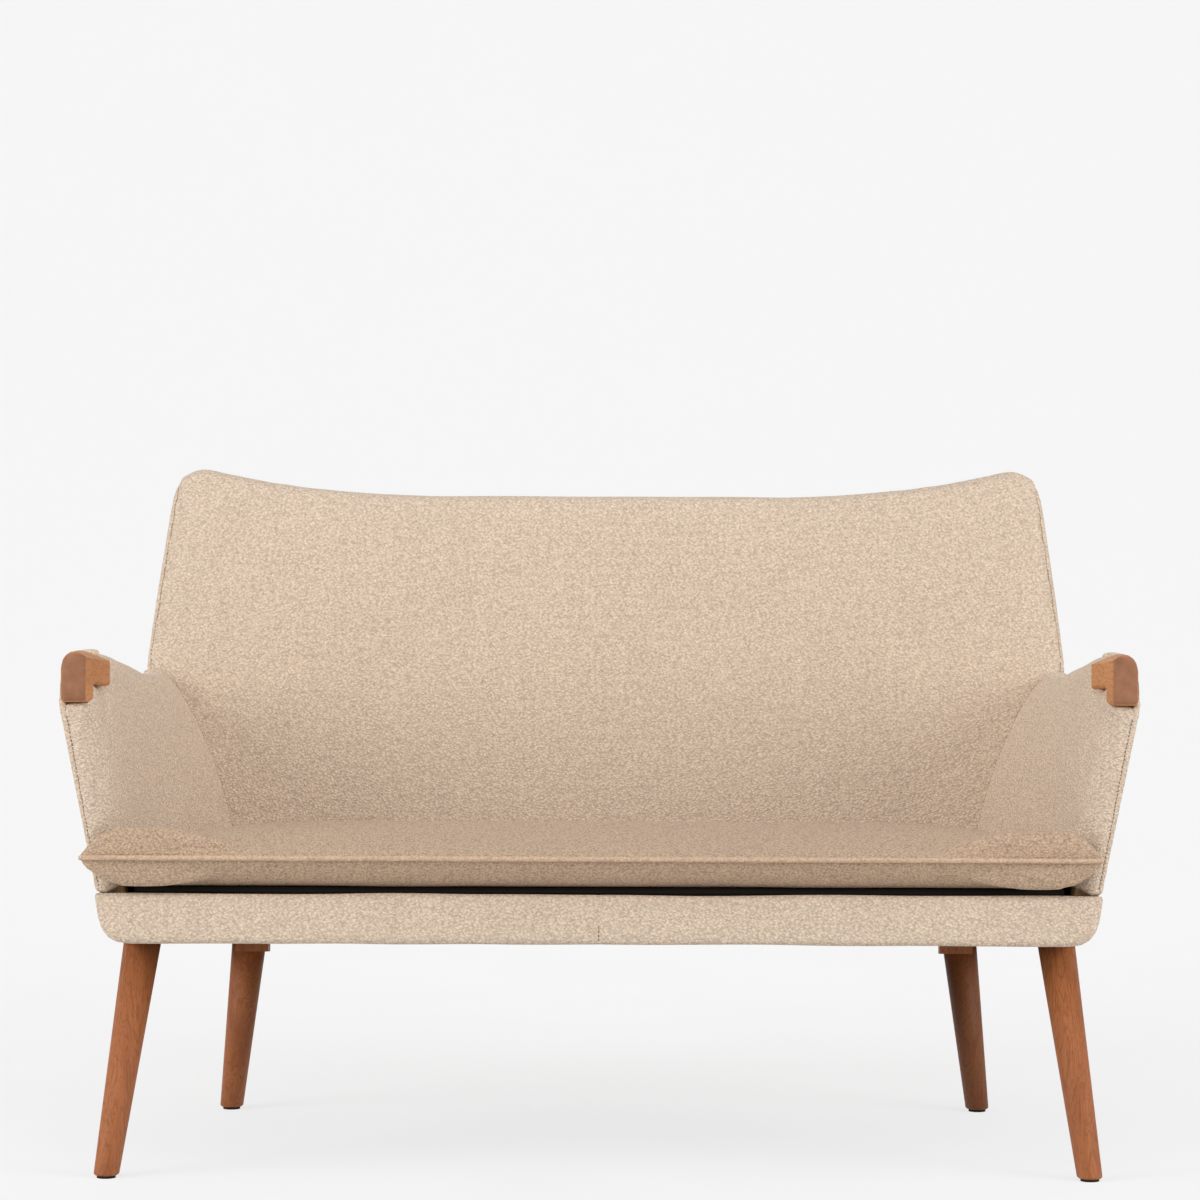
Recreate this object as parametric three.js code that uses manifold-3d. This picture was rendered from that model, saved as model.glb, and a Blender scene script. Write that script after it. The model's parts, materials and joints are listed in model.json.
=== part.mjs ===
// High back settee: an upholstered beech frame on four turned legs, with wooden hand grips let into
// the arms and one loose seat cushion.
// Millimetres. +X is the right of someone who looks at the front, +Y is the back, +Z is up.
import * as THREE from 'three';
import * as BufferGeometryUtils from 'three/addons/utils/BufferGeometryUtils.js';
import Module from 'manifold-3d';

const wasm = await Module();
wasm.setup();

// Whole settee
const overallWidth = 1306;
const frontHeight = 286; // floor to the underside of the front band
const seatSlopeDegrees = 5.8; // the seat frame drops towards the back
const backRakeDegrees = 16;
const backFootDepth = 486; // front band to the foot of the back's face
const seamGap = 0.3; // between pieces that touch
const sliverSize = 0.003; // edges and faces thinner than this are closed up
const overrun = 30; // how far a cutting solid runs past what it cuts

// Seat frame and the band round its front
const bandWidth = 1218;
const bandHeight = 60;
const bandCorner = 30;
const bandPadding = 12;
const bandWrap = 30; // how far the band reaches back round the rail
const bandEdgeRound = 6;
const railThickness = 34;
const railTop = 56;
const railFoot = 3;
const sideRailThickness = 26;
const bearerWidth = 40;
const bearerFoot = 10;
const bearerTop = 50;
const webbingThickness = 2;
const webbingStrap = 50;
const webbingPitch = 110;
const webbingLap = 6; // how far the webbing lies over the inner edge of a side rail
const deckThickness = 11;
const dustCoverThickness = 1.2;
const dustCoverMargin = 33;
const dustRoom = 2; // round the heads of the front legs

// Arms
const armFront = 12; // the arms' front edge stands behind the face of the band
const armWidestHeight = 575; // above the floor
const armTopAtGrip = 624;
const armTopAtBack = 604;
const armEdgeRound = 17; // inner side of the front edge
const armOuterRound = 7; // outer side of the front edge
const armCrownOffset = 19; // from the outside to the highest line of the arm
const armFrontHalf = 23; // from that line to the inside, at the front
const armBackHalf = 94; // the same at the back, where the padding fills the corner
const armSeamDrop = 26; // from the arm's top to the seam with the outside cover
const postDepth = 38;
const postThickness = 22;
const postSetback = 24; // from the arm's front edge to the post
const armRailHeight = 32;
const armTopPadding = 34;
const coverThickness = 2.5;
const armBulge = 6; // outwards, at the front of the arm and half way up it
const outsideThickness = 9.4;

// Back
const backWidthAtFoot = 1132;
const backWidthAtArms = 1244;
const backWidthAtTop = 1190;
const backArmHeight = 381; // along the back, from its foot to the joint with the arms
const backHeight = 628; // along the back, at its middle
const earRise = 34;
const earStart = 240; // from the middle to where the top begins to rise
const earCornerWidth = 36;
const earCornerDrop = 48;
const backThickness = 82;
const sideForward = 24; // the sides of the back come forward
const lumbarBulge = 12;
const backTopRound = 28;
const backEdgeRound = 16;
const backRearRound = 8;
const backPadDepth = 40;
const backTopPadding = 24;
const backFrameThickness = 28;
const backPostWidth = 26;
const backRailHeight = 44;
const middleRailFoot = 300;
const outsideBackThickness = 10;
const hessianThickness = 1.6;

// Legs, blocks and glides
const legTopDiameter = 46;
const legFootDiameter = 31;
const legFootRound = 2;
const tenonDiameter = 25;
const tenonClearance = 0.4;
const frontLegInset = 36; // from the outside of the settee to the middle of the leg's head
const frontLegSetback = 72; // from the face of the band
const frontLegSplay = 37; // outwards
const frontLegReach = 46; // forwards
const rearLegInset = 91.5;
const rearLegSetback = 516;
const rearLegSplay = 30;
const rearLegReach = 60; // backwards
const frontTenon = 34;
const rearTenon = 26;
const frontBlockWidth = 86;
const frontBlockDepth = 76;
const frontBlockTop = 52;
const frontBlockInset = 76; // from the middle of the leg's head to its inner side
const rearBlockWidth = 62;
const rearBlockHeight = 34;
const rearBlockInset = 32;
const rearBlockFront = 484; // behind the face of the band, along the slope
const rearLipWidth = 43; // the part that hangs down in front of the leg
const rearLipInset = 28;
const rearLipDrop = 14; // below the underside of the seat frame
const glideDiameter = 23;
const glideHeight = 3;

// Hand grips
const gripWidth = 31;
const gripLength = 92;
const gripNoseFront = 4; // behind the face of the band
const gripTop = 637; // above the floor
const gripNoseHeight = 62;
const gripNoseDepth = 31;
const gripTabThickness = 34;
const gripTopFall = 12;
const gripTabFall = 4;
const gripNoseRound = 14;
const gripNotchRound = 5;
const gripFootRound = 9;
const gripEdgeRound = 4;
const gripSpread = 17; // how much wider the tail is than the nose
const gripInset = 4; // from the outside of the arm
const dowelDiameter = 10;
const dowelLength = 44;

// Seat cushion
const cushionWidth = 1226; // over the front ears
const cushionDrift = -9; // it lies a little to the left
const cushionFront = -28; // in front of the band
const cushionBow = 4;
const cushionEarClearance = 3; // in front of the arms
const cushionClearance = 10;
const cushionPipeHeight = 32; // above the deck
const cushionCrown = 43; // above the piping
const cushionCoverThickness = 2.5;
const cushionRearRound = 40;
const fillingSetback = 24; // from the roots of the ears
const pipingDiameter = 5.6;

const { lerp, clamp } = THREE.MathUtils;
const radians = Math.PI / 180;
const slope = seatSlopeDegrees * radians;
const rake = backRakeDegrees * radians;
const lean = rake - slope; // of the back against the seat frame

// Materials
const wood = new THREE.MeshStandardMaterial({ color: 0x96603f, roughness: 0.5, metalness: 0 });
const beech = new THREE.MeshStandardMaterial({ color: 0xc9a77c, roughness: 0.7, metalness: 0 });
const wool = new THREE.MeshStandardMaterial({ color: 0xd3bda5, roughness: 0.95, metalness: 0 });
const seatWool = new THREE.MeshStandardMaterial({ color: 0xbb9f86, roughness: 0.95, metalness: 0 });
const wadding = new THREE.MeshStandardMaterial({ color: 0xe8e0cf, roughness: 1, metalness: 0 });
const jute = new THREE.MeshStandardMaterial({ color: 0xa98f66, roughness: 1, metalness: 0 });
const blackCloth = new THREE.MeshStandardMaterial({ color: 0x26241f, roughness: 1, metalness: 0 });
const felt = new THREE.MeshStandardMaterial({ color: 0x3b2a20, roughness: 0.9, metalness: 0 });

const settee = new THREE.Group();
const seatFrame = new THREE.Group(); // +Y runs back along the seat's slope
seatFrame.position.set(0, 0, frontHeight);
seatFrame.rotation.x = -slope;
const backFrame = new THREE.Group(); // +Z runs up the back
backFrame.position.set(0, backFootDepth, seatPlane(backFootDepth, 0));
backFrame.rotation.x = -rake;
settee.add(seatFrame, backFrame);
settee.updateMatrixWorld(true);

// Height above the floor of the plane that lies `height` above the seat frame's underside
function seatPlane(y, height) {
  return frontHeight - y * Math.tan(slope) + height / Math.cos(slope);
}

// The same plane as a line in the back's own section
function footLine(n, height) {
  return height / Math.cos(lean) + n * Math.tan(lean);
}

function vector(x, y, z) {
  return new THREE.Vector3(x, y, z);
}

// Closed solid through rings of points, with a lid at each end that joins the two halves of the ring
function loft(rings) {
  const count = rings[0].length;
  const triangles = [];
  for (let ring = 0; ring + 1 < rings.length; ring++) {
    for (let side = 0; side < count; side++) {
      const a = ring * count + side;
      const b = ring * count + (side + 1) % count;
      triangles.push(a, b, b + count, a, b + count, a + count);
    }
  }
  const lid = ladder(count);
  const lastStart = (rings.length - 1) * count;
  triangles.push(...lid.toReversed());
  triangles.push(...lid.map((corner) => corner + lastStart));
  return closedGeometry(rings.flat(), triangles);
}

// Triangles between the first half of a ring and the second, rung by rung
function ladder(count) {
  const corners = [];
  for (let low = 0; low + 1 < count - 1 - low; low++) {
    const high = count - 1 - low;
    corners.push(low, low + 1, high);
    if (high - 1 > low + 1) corners.push(low + 1, high - 1, high);
  }
  return corners;
}

// Closed tube round a closed path
function ringTube(path, diameter, sides) {
  const points = [];
  const triangles = [];
  path.forEach((centre, step) => {
    const next = path[(step + 1) % path.length];
    const last = path[(step + path.length - 1) % path.length];
    const outward = vector(0, 0, 1).cross(next.clone().sub(last)).normalize();
    for (let side = 0; side < sides; side++) {
      const turn = 2 * Math.PI * side / sides;
      const place = centre.clone().addScaledVector(outward, Math.cos(turn) * diameter / 2);
      place.z += Math.sin(turn) * diameter / 2;
      points.push(place);
      const a = step * sides + side;
      const b = step * sides + (side + 1) % sides;
      const nextA = ((step + 1) % path.length) * sides + side;
      const nextB = ((step + 1) % path.length) * sides + (side + 1) % sides;
      triangles.push(a, b, nextB, a, nextB, nextA);
    }
  });
  return closedGeometry(points, triangles);
}

// Geometry with its faces turned outwards
function closedGeometry(points, triangles) {
  let volume = 0;
  for (let i = 0; i < triangles.length; i += 3) {
    const [a, b, c] = triangles.slice(i, i + 3).map((corner) => points[corner]);
    volume += a.dot(b.clone().cross(c));
  }
  const turned = volume < 0 ? triangles.toReversed() : triangles;
  const geometry = new THREE.BufferGeometry().setFromPoints(points);
  geometry.setIndex(turned);
  geometry.computeVertexNormals();
  return geometry;
}

// Solid for cutting and joining; `group` gives the frame that the geometry is written in
function solidOf(geometry, group = settee) {
  const bare = geometry.clone().applyMatrix4(group.matrixWorld);
  bare.deleteAttribute('normal');
  bare.deleteAttribute('uv');
  const merged = BufferGeometryUtils.mergeVertices(bare);
  const mesh = new wasm.Mesh({
    numProp: 3,
    vertProperties: merged.attributes.position.array,
    triVerts: merged.index.array,
  });
  return new wasm.Manifold(mesh);
}

// Geometry of a solid without the slivers that cuts leave, back in the frame of `group`
function geometryOf(solid, group = settee) {
  const mesh = solid.simplify(sliverSize).getMesh();
  const geometry = new THREE.BufferGeometry();
  geometry.setAttribute('position', new THREE.BufferAttribute(mesh.vertProperties, mesh.numProp));
  geometry.setIndex(new THREE.BufferAttribute(mesh.triVerts, 1));
  geometry.applyMatrix4(group.matrixWorld.clone().invert());
  geometry.computeVertexNormals();
  return geometry;
}

function cut(solid, ...tools) {
  return tools.reduce((rest, tool) => rest.subtract(tool), solid);
}

function add(name, geometry, material, group = settee) {
  const mesh = new THREE.Mesh(geometry, material);
  mesh.name = name;
  group.add(mesh);
  return mesh;
}

// Box between two corners
function block(low, high) {
  const size = high.clone().sub(low);
  const middle = low.clone().add(high).divideScalar(2);
  return new THREE.BoxGeometry(size.x, size.y, size.z).translate(middle.x, middle.y, middle.z);
}

const sides = [
  { name: 'left', sign: -1 },
  { name: 'right', sign: 1 },
];

// Where the upholstery starts above the seat frame's underside: on the webbing, on the rails
const padFoot = railTop + webbingThickness + 2 * seamGap;
const deckTop = padFoot + deckThickness;
const postOuterOffset = outsideThickness + seamGap;
const postInnerOffset = postOuterOffset + postThickness;
const framePadding = 0.9; // clearance between the wooden frame and its padding

// How far a round of some radius draws a surface in, at a distance from the edge
function rounded(radius, fromEdge) {
  const inside = Math.max(radius - fromEdge, 0);
  return radius - Math.sqrt(radius ** 2 - inside ** 2);
}

// THE BACK, in the frame of backFrame: x across, n through it (y), s up it (z)

const earApex = backWidthAtTop / 2 - earCornerWidth;
const earCurveShare = 2.1;
const bowCurveShare = 3;
const cornerTurns = [30, 55, 75, 90];
const halfShares = [
  0.22,
  earStart / (backWidthAtTop / 2),
  0.55,
  0.68,
  0.79,
  0.88,
  earApex / (backWidthAtTop / 2),
  ...cornerTurns.map((turn) => {
    return (earApex + earCornerWidth * Math.sin(turn * radians)) / (backWidthAtTop / 2);
  }),
];
const backShares = [...halfShares.toReversed().map((share) => -share), 0, ...halfShares];
const railHalfShares = [0.25, 0.45, 0.6, 0.72, 0.82, 0.91, 1];
const railShares = [...railHalfShares.toReversed().map((share) => -share), 0, ...railHalfShares];
const lowerShares = [0, 0.5, 1];
const upperShares = [0.5, 1];
const topTurns = [30, 60, 90, 120, 150];

function backHalfAt(s) {
  const foot = backWidthAtFoot / 2;
  const arms = backWidthAtArms / 2;
  if (s < backArmHeight) return lerp(foot, arms, s / backArmHeight);
  return lerp(arms, backWidthAtTop / 2, (s - backArmHeight) / (backHeight - backArmHeight));
}

function backTopAt(x) {
  const reach = Math.abs(x);
  if (reach > earApex) {
    const along = Math.min((reach - earApex) / earCornerWidth, 1);
    return backHeight + earRise - earCornerDrop * (1 - Math.sqrt(1 - along ** 2));
  }
  const rise = Math.max(reach - earStart, 0) / (earApex - earStart);
  return backHeight + earRise * rise ** earCurveShare;
}

function bowAt(share) {
  return -sideForward * Math.abs(share) ** bowCurveShare;
}

function lumbarAt(s) {
  return -lumbarBulge * Math.sin(Math.PI * clamp(s / backHeight, 0, 1));
}

// Section of the upholstered back at a share of its half width, drawn in all round by `inset`
function backRing(share, inset, edgeRound) {
  const fromEdge = (1 - Math.abs(share)) * backWidthAtTop / 2;
  const front = bowAt(share) + rounded(edgeRound, fromEdge) + inset;
  const rear = bowAt(share) + backThickness - rounded(backRearRound, fromEdge) - inset;
  const shoulder = backTopAt(share * backWidthAtTop / 2) - backTopRound;
  const place = (n, s) => vector(share * (backHalfAt(s) - inset), n, s);
  const heights = (n) => [
    ...lowerShares.map((part) => lerp(footLine(n, -overrun), backArmHeight, part)),
    ...upperShares.map((part) => lerp(backArmHeight, shoulder, part)),
  ];
  const face = heights(front).map((s) => place(front + lumbarAt(s), s));
  const frontTop = front + lumbarAt(shoulder);
  const roll = topTurns.map((turn) => {
    const n = (frontTop + rear) / 2 - Math.cos(turn * radians) * (rear - frontTop) / 2;
    return place(n, shoulder + (backTopRound - inset) * Math.sin(turn * radians));
  });
  const behind = heights(rear).toReversed().map((s) => place(rear, s));
  return [...face, ...roll, ...behind];
}

// The back's form runs on below the seat frame, where it is cut off
function backEnvelope(inset, edgeRound = backEdgeRound) {
  const rings = backShares.map((share) => backRing(share, inset, edgeRound));
  return solidOf(loft(rings), backFrame);
}

// Slab that follows the back's bow between two depths
function backSlab({ near, far, foot, top, half, stations = backShares }) {
  const rings = stations.map((share) => {
    const place = (n, s) => {
      const x = share * half(s);
      return vector(x, n + bowAt(x / backHalfAt(s)), s);
    };
    const high = top(share * half(backHeight));
    const levels = (n) => {
      const bends = foot(0) < backArmHeight && backArmHeight < top(0);
      return bends ? [foot(n), backArmHeight, high] : [foot(n), high];
    };
    return [
      ...levels(near).map((s) => place(near, s)),
      ...levels(far).toReversed().map((s) => place(far, s)),
    ];
  });
  return loft(rings);
}

const belowBack = () => -4 * overrun;
const aboveBack = () => backHeight + earRise + overrun;
const insideCovers = (gap) => (s) => backHalfAt(s) - outsideThickness - gap;
const betweenPosts = (s) => backHalfAt(s) - postOuterOffset - backPostWidth - seamGap;
const hessianNear = backPadDepth + framePadding;
const backFrameNear = hessianNear + hessianThickness + framePadding;
const backFrameFar = backFrameNear + backFrameThickness;

// All that lies inside the outside covers
// All that lies below a height over the seat frame's underside
function belowHeight(height) {
  return solidOf(block(
    vector(-overallWidth, -overallWidth, -overallWidth),
    vector(overallWidth, overallWidth, height),
  ), seatFrame);
}

const backCore = solidOf(backSlab({
  near: -2 * overrun,
  far: backThickness - outsideBackThickness - seamGap,
  foot: belowBack,
  top: aboveBack,
  half: insideCovers(seamGap),
}), backFrame);

const rearZone = solidOf(backSlab({
  near: backThickness - outsideBackThickness,
  far: backThickness + overrun,
  foot: belowBack,
  top: aboveBack,
  half: insideCovers(seamGap),
}), backFrame);

const rearRoom = solidOf(backSlab({
  near: backThickness - outsideBackThickness - seamGap,
  far: backThickness + overrun,
  foot: belowBack,
  top: aboveBack,
  half: (s) => backHalfAt(s) + overrun,
}), backFrame);

const backFrameZone = solidOf(backSlab({
  near: backPadDepth,
  far: backThickness + overrun,
  foot: belowBack,
  top: (x) => backTopAt(x) - backTopPadding,
  half: backHalfAt,
}), backFrame);

// Strip at one side of the back, where the outside cover runs up it
function backStrip(sign) {
  const levels = [belowBack(), backArmHeight, aboveBack()];
  const rings = [-outsideThickness, overrun].map((offset) => {
    const place = (n, s) => vector(sign * (backHalfAt(s) + offset), n, s);
    return [
      ...levels.map((s) => place(-3 * overrun, s)),
      ...levels.toReversed().map((s) => place(backThickness + overrun, s)),
    ];
  });
  return solidOf(loft(rings), backFrame);
}

const wholeBack = backEnvelope(0).subtract(belowHeight(0));
const grownBack = backEnvelope(-seamGap, 0);

function backPost(sign, gap) {
  const top = backHeight - backTopPadding - framePadding + gap;
  const offsets = [postOuterOffset + backPostWidth + gap, postOuterOffset - gap];
  const rings = offsets.map((offset) => {
    const place = (n, s) => {
      const x = backHalfAt(s) - offset;
      return vector(sign * x, n + bowAt(x / backHalfAt(s)), s);
    };
    const near = backFrameNear - gap;
    const far = backFrameFar + gap;
    return [
      place(near, footLine(near, railFoot - gap)),
      place(near, backArmHeight),
      place(near, top),
      place(far, top),
      place(far, backArmHeight),
      place(far, footLine(far, railFoot - gap)),
    ];
  });
  return loft(rings);
}

function backRail(foot, top) {
  return backSlab({
    near: backFrameNear,
    far: backFrameFar,
    foot,
    top,
    half: betweenPosts,
    stations: railShares,
  });
}

const topRailFoot = backHeight - backTopPadding - framePadding - backRailHeight;
// The top rail stays straight below and follows the rise to the ears above
const topRail = backRail(() => topRailFoot, (x) => backTopAt(x) - backTopPadding - framePadding);
const middleRail = backRail(() => middleRailFoot, () => middleRailFoot + backRailHeight);
const wholeRearRail = backRail(
  (n) => footLine(n, railFoot),
  () => footLine(backFrameFar, railTop) + overrun,
);

// THE ARMS, written in the settee's own frame

const armTaperShare = 2.2;
const crownAlongShare = 0.7;
const crownFrontPower = 6;
const crownBackPower = 1.7;
const outerCrownPower = 8;
const armAlongShares = [0, 0.005, 0.016, 0.035, 0.13, 0.28, 0.45, 0.62, 0.79, 0.92, 1];
const zoneShares = [-0.1, ...armAlongShares, 1.1];
const innerShares = [0, 0.35, 0.6, 0.78, 0.9, 0.96, 0.99];
const outerShares = [0.99, 0.96, 0.91, 0.83, 0];
const cornerShares = [0.67, 0.33, 0];

// Distance from the arms' front edge to the plane of the back's face
function armReach(z) {
  return backFrame.position.y + (z - backFrame.position.z) * Math.tan(rake) - armFront;
}

function armY(along, z, inset = 0) {
  return armFront + inset + along * (armReach(z) - inset);
}

// Height above the floor of the seat plane `height`, where the arm passes over it
function armPlane(along, height) {
  let z = frontHeight;
  for (let pass = 0; pass < 3; pass++) z = seatPlane(armY(along, z), height);
  return z;
}

// Distance from the middle of the settee to the outside of its arm
function outsideAt(along, z) {
  const bandTopZ = seatPlane(0, bandHeight);
  const up = Math.min((z - bandTopZ) / (armWidestHeight - bandTopZ), 1);
  const front = lerp(bandWidth / 2, overallWidth / 2, up);
  const back = backHalfAt((z - backFrame.position.z) / Math.cos(rake));
  return lerp(front, back, along);
}

function armTopAt(along) {
  return lerp(armTopAtGrip, armTopAtBack, along);
}

function armHalfAt(along) {
  return lerp(armFrontHalf, armBackHalf, along ** armTaperShare);
}

// Section of the upholstered arm, drawn in all round by `inset`
function armRing(sign, along, inset) {
  const fromEdge = along * armReach(armWidestHeight);
  const innerRound = rounded(armEdgeRound, fromEdge);
  const outerRound = rounded(armOuterRound, fromEdge);
  const top = armTopAt(along) - inset - innerRound;
  const half = armHalfAt(along) - inset - innerRound;
  const crown = armCrownOffset - inset - outerRound;
  const power = lerp(crownFrontPower, crownBackPower, along ** crownAlongShare);
  const place = (offset, z) => {
    return vector(sign * (outsideAt(along, z) - offset), armY(along, z, inset), z);
  };
  const low = armPlane(along, padFoot);
  const inner = innerShares.map((share) => {
    const width = half * (1 - share ** power) ** (1 / power);
    return place(armCrownOffset + width, lerp(low, top, share));
  });
  const outer = outerShares.map((share) => {
    const width = crown * (1 - share ** outerCrownPower) ** (1 / outerCrownPower);
    const bulge = armBulge * (1 - along) * Math.sin(Math.PI * share);
    return place(armCrownOffset - width - bulge, lerp(low, top, share));
  });
  const corner = cornerShares.map((share) => {
    const offset = bandCorner * (1 - share) ** 2;
    return place(inset + outerRound + offset, armPlane(along, bandCorner * share ** 2));
  });
  const foot = place(bandCorner + railThickness, armPlane(along, 0));
  return [foot, ...inner, place(armCrownOffset, top), ...outer, ...corner];
}

function armEnvelope(sign, inset) {
  return solidOf(loft(armAlongShares.map((along) => armRing(sign, along, inset))));
}

// Slab that follows the outside of an arm between two distances in from it
function armSlab(sign, { outer, inner, foot, top, stations = zoneShares }) {
  const bends = stations.every((along) => foot(along) < armWidestHeight && armWidestHeight < top(along));
  const rings = stations.map((along) => {
    const place = (offset, z) => vector(sign * (outsideAt(along, z) - offset), armY(along, z), z);
    const levels = bends ? [foot(along), armWidestHeight, top(along)] : [foot(along), top(along)];
    return [
      ...levels.map((z) => place(inner, z)),
      ...levels.toReversed().map((z) => place(outer, z)),
    ];
  });
  return loft(rings);
}

const belowArm = (along) => armPlane(along, 0) - overrun;
const armSeamAt = (along) => armTopAt(along) - armSeamDrop;
const armFrameTopAt = (along) => armTopAt(along) - armTopPadding;
const alongAt = (distance) => distance / armReach(armWidestHeight);
const postStart = alongAt(postSetback);
const postEnd = alongAt(postSetback + postDepth);

function armOutsideZone(sign, gap) {
  return solidOf(armSlab(sign, {
    outer: -overrun,
    inner: outsideThickness + gap,
    foot: belowArm,
    top: (along) => armSeamAt(along) + gap,
  }));
}

function armFrameZone(sign) {
  const start = postStart - alongAt(framePadding);
  return solidOf(armSlab(sign, {
    outer: 0,
    inner: postInnerOffset + framePadding,
    foot: belowArm,
    top: armFrameTopAt,
    stations: [start, ...armAlongShares.filter((along) => along > postEnd), 1.1],
  }));
}

// Wooden member that lies behind the arm's outside cover
function armMember(sign, start, end, foot, top, gap = 0) {
  const between = armAlongShares.filter((along) => along > start && along < end);
  return solidOf(armSlab(sign, {
    outer: postOuterOffset - gap,
    inner: postInnerOffset + gap,
    foot: (along) => foot(along) - gap,
    top: (along) => top(along) + gap,
    stations: [start, ...between, end],
  }));
}

// THE HAND GRIPS: a nose in front of the arm and a tab let into its top, with a notch between them

const gripTabFoot = gripTop - gripTopFall - gripTabThickness;
const gripOuter = outsideAt(0, gripTabFoot) - gripInset;
const gripTail = gripNoseFront + gripLength;
const gripNoseBack = gripNoseFront + gripNoseDepth;
const gripNoseFoot = gripTop - gripNoseHeight;
const gripBevelSegments = 2;
const gripCurveSegments = 5;

// Side view of a grip: depth across, height up
function gripOutline() {
  const notchTop = gripTabFoot + gripTabFall;
  const footRow = gripNoseFoot + gripFootRound;
  const outline = new THREE.Shape();
  outline.moveTo(gripNoseFront, footRow);
  outline.lineTo(gripNoseFront, gripTop - gripNoseRound);
  outline.quadraticCurveTo(gripNoseFront, gripTop, gripNoseFront + gripNoseRound, gripTop);
  outline.lineTo(gripNoseBack, gripTop);
  outline.quadraticCurveTo((gripNoseBack + gripTail) / 2, gripTop, gripTail, gripTop - gripTopFall);
  outline.lineTo(gripTail, gripTabFoot);
  outline.lineTo(gripNoseBack + gripNotchRound, notchTop);
  outline.quadraticCurveTo(gripNoseBack, notchTop, gripNoseBack, notchTop - gripNotchRound);
  outline.lineTo(gripNoseBack, footRow);
  outline.quadraticCurveTo(gripNoseBack, gripNoseFoot, gripNoseBack - gripFootRound, gripNoseFoot);
  outline.lineTo(gripNoseFront + gripFootRound, gripNoseFoot);
  outline.quadraticCurveTo(gripNoseFront, gripNoseFoot, gripNoseFront, footRow);
  return outline;
}

// The grip grows wider towards its tail on the inner side
function gripGeometry(sign, gap) {
  const geometry = new THREE.ExtrudeGeometry(gripOutline(), {
    depth: gripWidth + 2 * gap - 2 * gripEdgeRound,
    bevelSize: gripEdgeRound,
    bevelThickness: gripEdgeRound,
    bevelOffset: gap - gripEdgeRound,
    bevelSegments: gripBevelSegments,
    curveSegments: gripCurveSegments,
  });
  const place = geometry.attributes.position;
  for (let i = 0; i < place.count; i++) {
    const y = place.getX(i);
    const along = (y - gripNoseFront) / gripLength;
    const width = (place.getZ(i) + gripEdgeRound - gap) * lerp(1, 1 + gripSpread / gripWidth, along);
    place.setXYZ(i, sign * (gripOuter - width), y, place.getY(i));
  }
  geometry.deleteAttribute('normal');
  geometry.deleteAttribute('uv');
  const merged = BufferGeometryUtils.mergeVertices(geometry);
  const points = Array.from({ length: merged.attributes.position.count }, (_, i) => {
    return new THREE.Vector3().fromBufferAttribute(merged.attributes.position, i);
  });
  return closedGeometry(points, Array.from(merged.index.array));
}

// The dowel stands in the post and holds the grip's tab
const dowelY = armFront + postSetback + postDepth / 2;
const dowelAlong = (dowelY - armFront) / armReach(gripTabFoot);
const dowelX = outsideAt(dowelAlong, gripTabFoot) - (postOuterOffset + postInnerOffset) / 2;
const dowelSides = 12;

function dowelGeometry(sign, gap) {
  return new THREE.CylinderGeometry(
    dowelDiameter / 2 + gap,
    dowelDiameter / 2 + gap,
    dowelLength + 2 * gap,
    dowelSides,
  ).rotateX(Math.PI / 2).translate(sign * dowelX, dowelY, gripTabFoot);
}

// THE BAND round the front of the seat frame, in the frame of seatFrame

const bandSpread = (overallWidth - bandWidth) / 2 / (armWidestHeight - seatPlane(0, bandHeight));
const bandCurveSegments = 4;

// Front view of the band or of the rail in it, drawn in by `side`, `foot` and `top`
function bandOutline(side, foot, top) {
  const corner = bandCorner - Math.min(side, foot);
  const high = bandHeight - top;
  const halfAt = (z) => bandWidth / 2 - side + (z - bandHeight) * bandSpread;
  const outline = new THREE.Shape();
  outline.moveTo(halfAt(high), high);
  outline.lineTo(-halfAt(high), high);
  outline.lineTo(-halfAt(foot + corner), foot + corner);
  outline.quadraticCurveTo(-halfAt(foot), foot, corner - halfAt(foot), foot);
  outline.lineTo(halfAt(foot) - corner, foot);
  outline.quadraticCurveTo(halfAt(foot), foot, halfAt(foot + corner), foot + corner);
  return outline;
}

// Turns an extrusion so that its depth runs forwards, and sets its near face at `y`
function setUpright(geometry, y) {
  return geometry.rotateX(Math.PI / 2).translate(0, y, 0);
}

// All of the band, with room for the seams round it
function bandSolid(gap) {
  const whole = new THREE.ExtrudeGeometry(bandOutline(-gap, -gap, -gap), {
    depth: bandWrap - bandEdgeRound,
    bevelSize: bandEdgeRound,
    bevelThickness: bandEdgeRound,
    bevelOffset: -bandEdgeRound,
    bevelSegments: gripBevelSegments,
    curveSegments: bandCurveSegments,
  });
  const behind = block(
    vector(-overallWidth, bandWrap + gap, -overrun),
    vector(overallWidth, bandWrap + overrun, bandHeight + overrun),
  );
  return solidOf(setUpright(whole, bandWrap), seatFrame).subtract(solidOf(behind, seatFrame));
}

const frontRailNear = bandPadding + seamGap;
const frontRailFar = frontRailNear + railThickness;

function frontRail(gap) {
  const outline = bandOutline(frontRailNear - gap, railFoot - gap, bandHeight - railTop - gap);
  return setUpright(new THREE.ExtrudeGeometry(outline, {
    depth: railThickness + 2 * gap,
    bevelEnabled: false,
    curveSegments: bandCurveSegments,
  }), frontRailFar + gap);
}

const railCornerWidth = 12;
const railCornerHeight = 14;

// Side rail, with its lower outer corner taken off for the padding of the cover; as a cutting solid
// it runs `outwards` past its own outside
function sideRail(sign, gap, outwards = 0) {
  const rings = zoneShares.map((along) => {
    const place = (offset, height) => {
      const z = armPlane(along, height);
      return vector(sign * (outsideAt(along, z) - offset), armY(along, z), z);
    };
    const outer = postOuterOffset - gap - outwards;
    const foot = railFoot - gap;
    const inner = postOuterOffset + sideRailThickness + gap;
    return [
      place(inner, foot),
      place(inner, railTop + gap),
      place(outer, railTop + gap),
      place(outer, railFoot + railCornerHeight - gap),
      place(outer + railCornerWidth, foot),
    ];
  });
  return solidOf(loft(rings));
}

// SEAT FRAME, in its own frame

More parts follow.
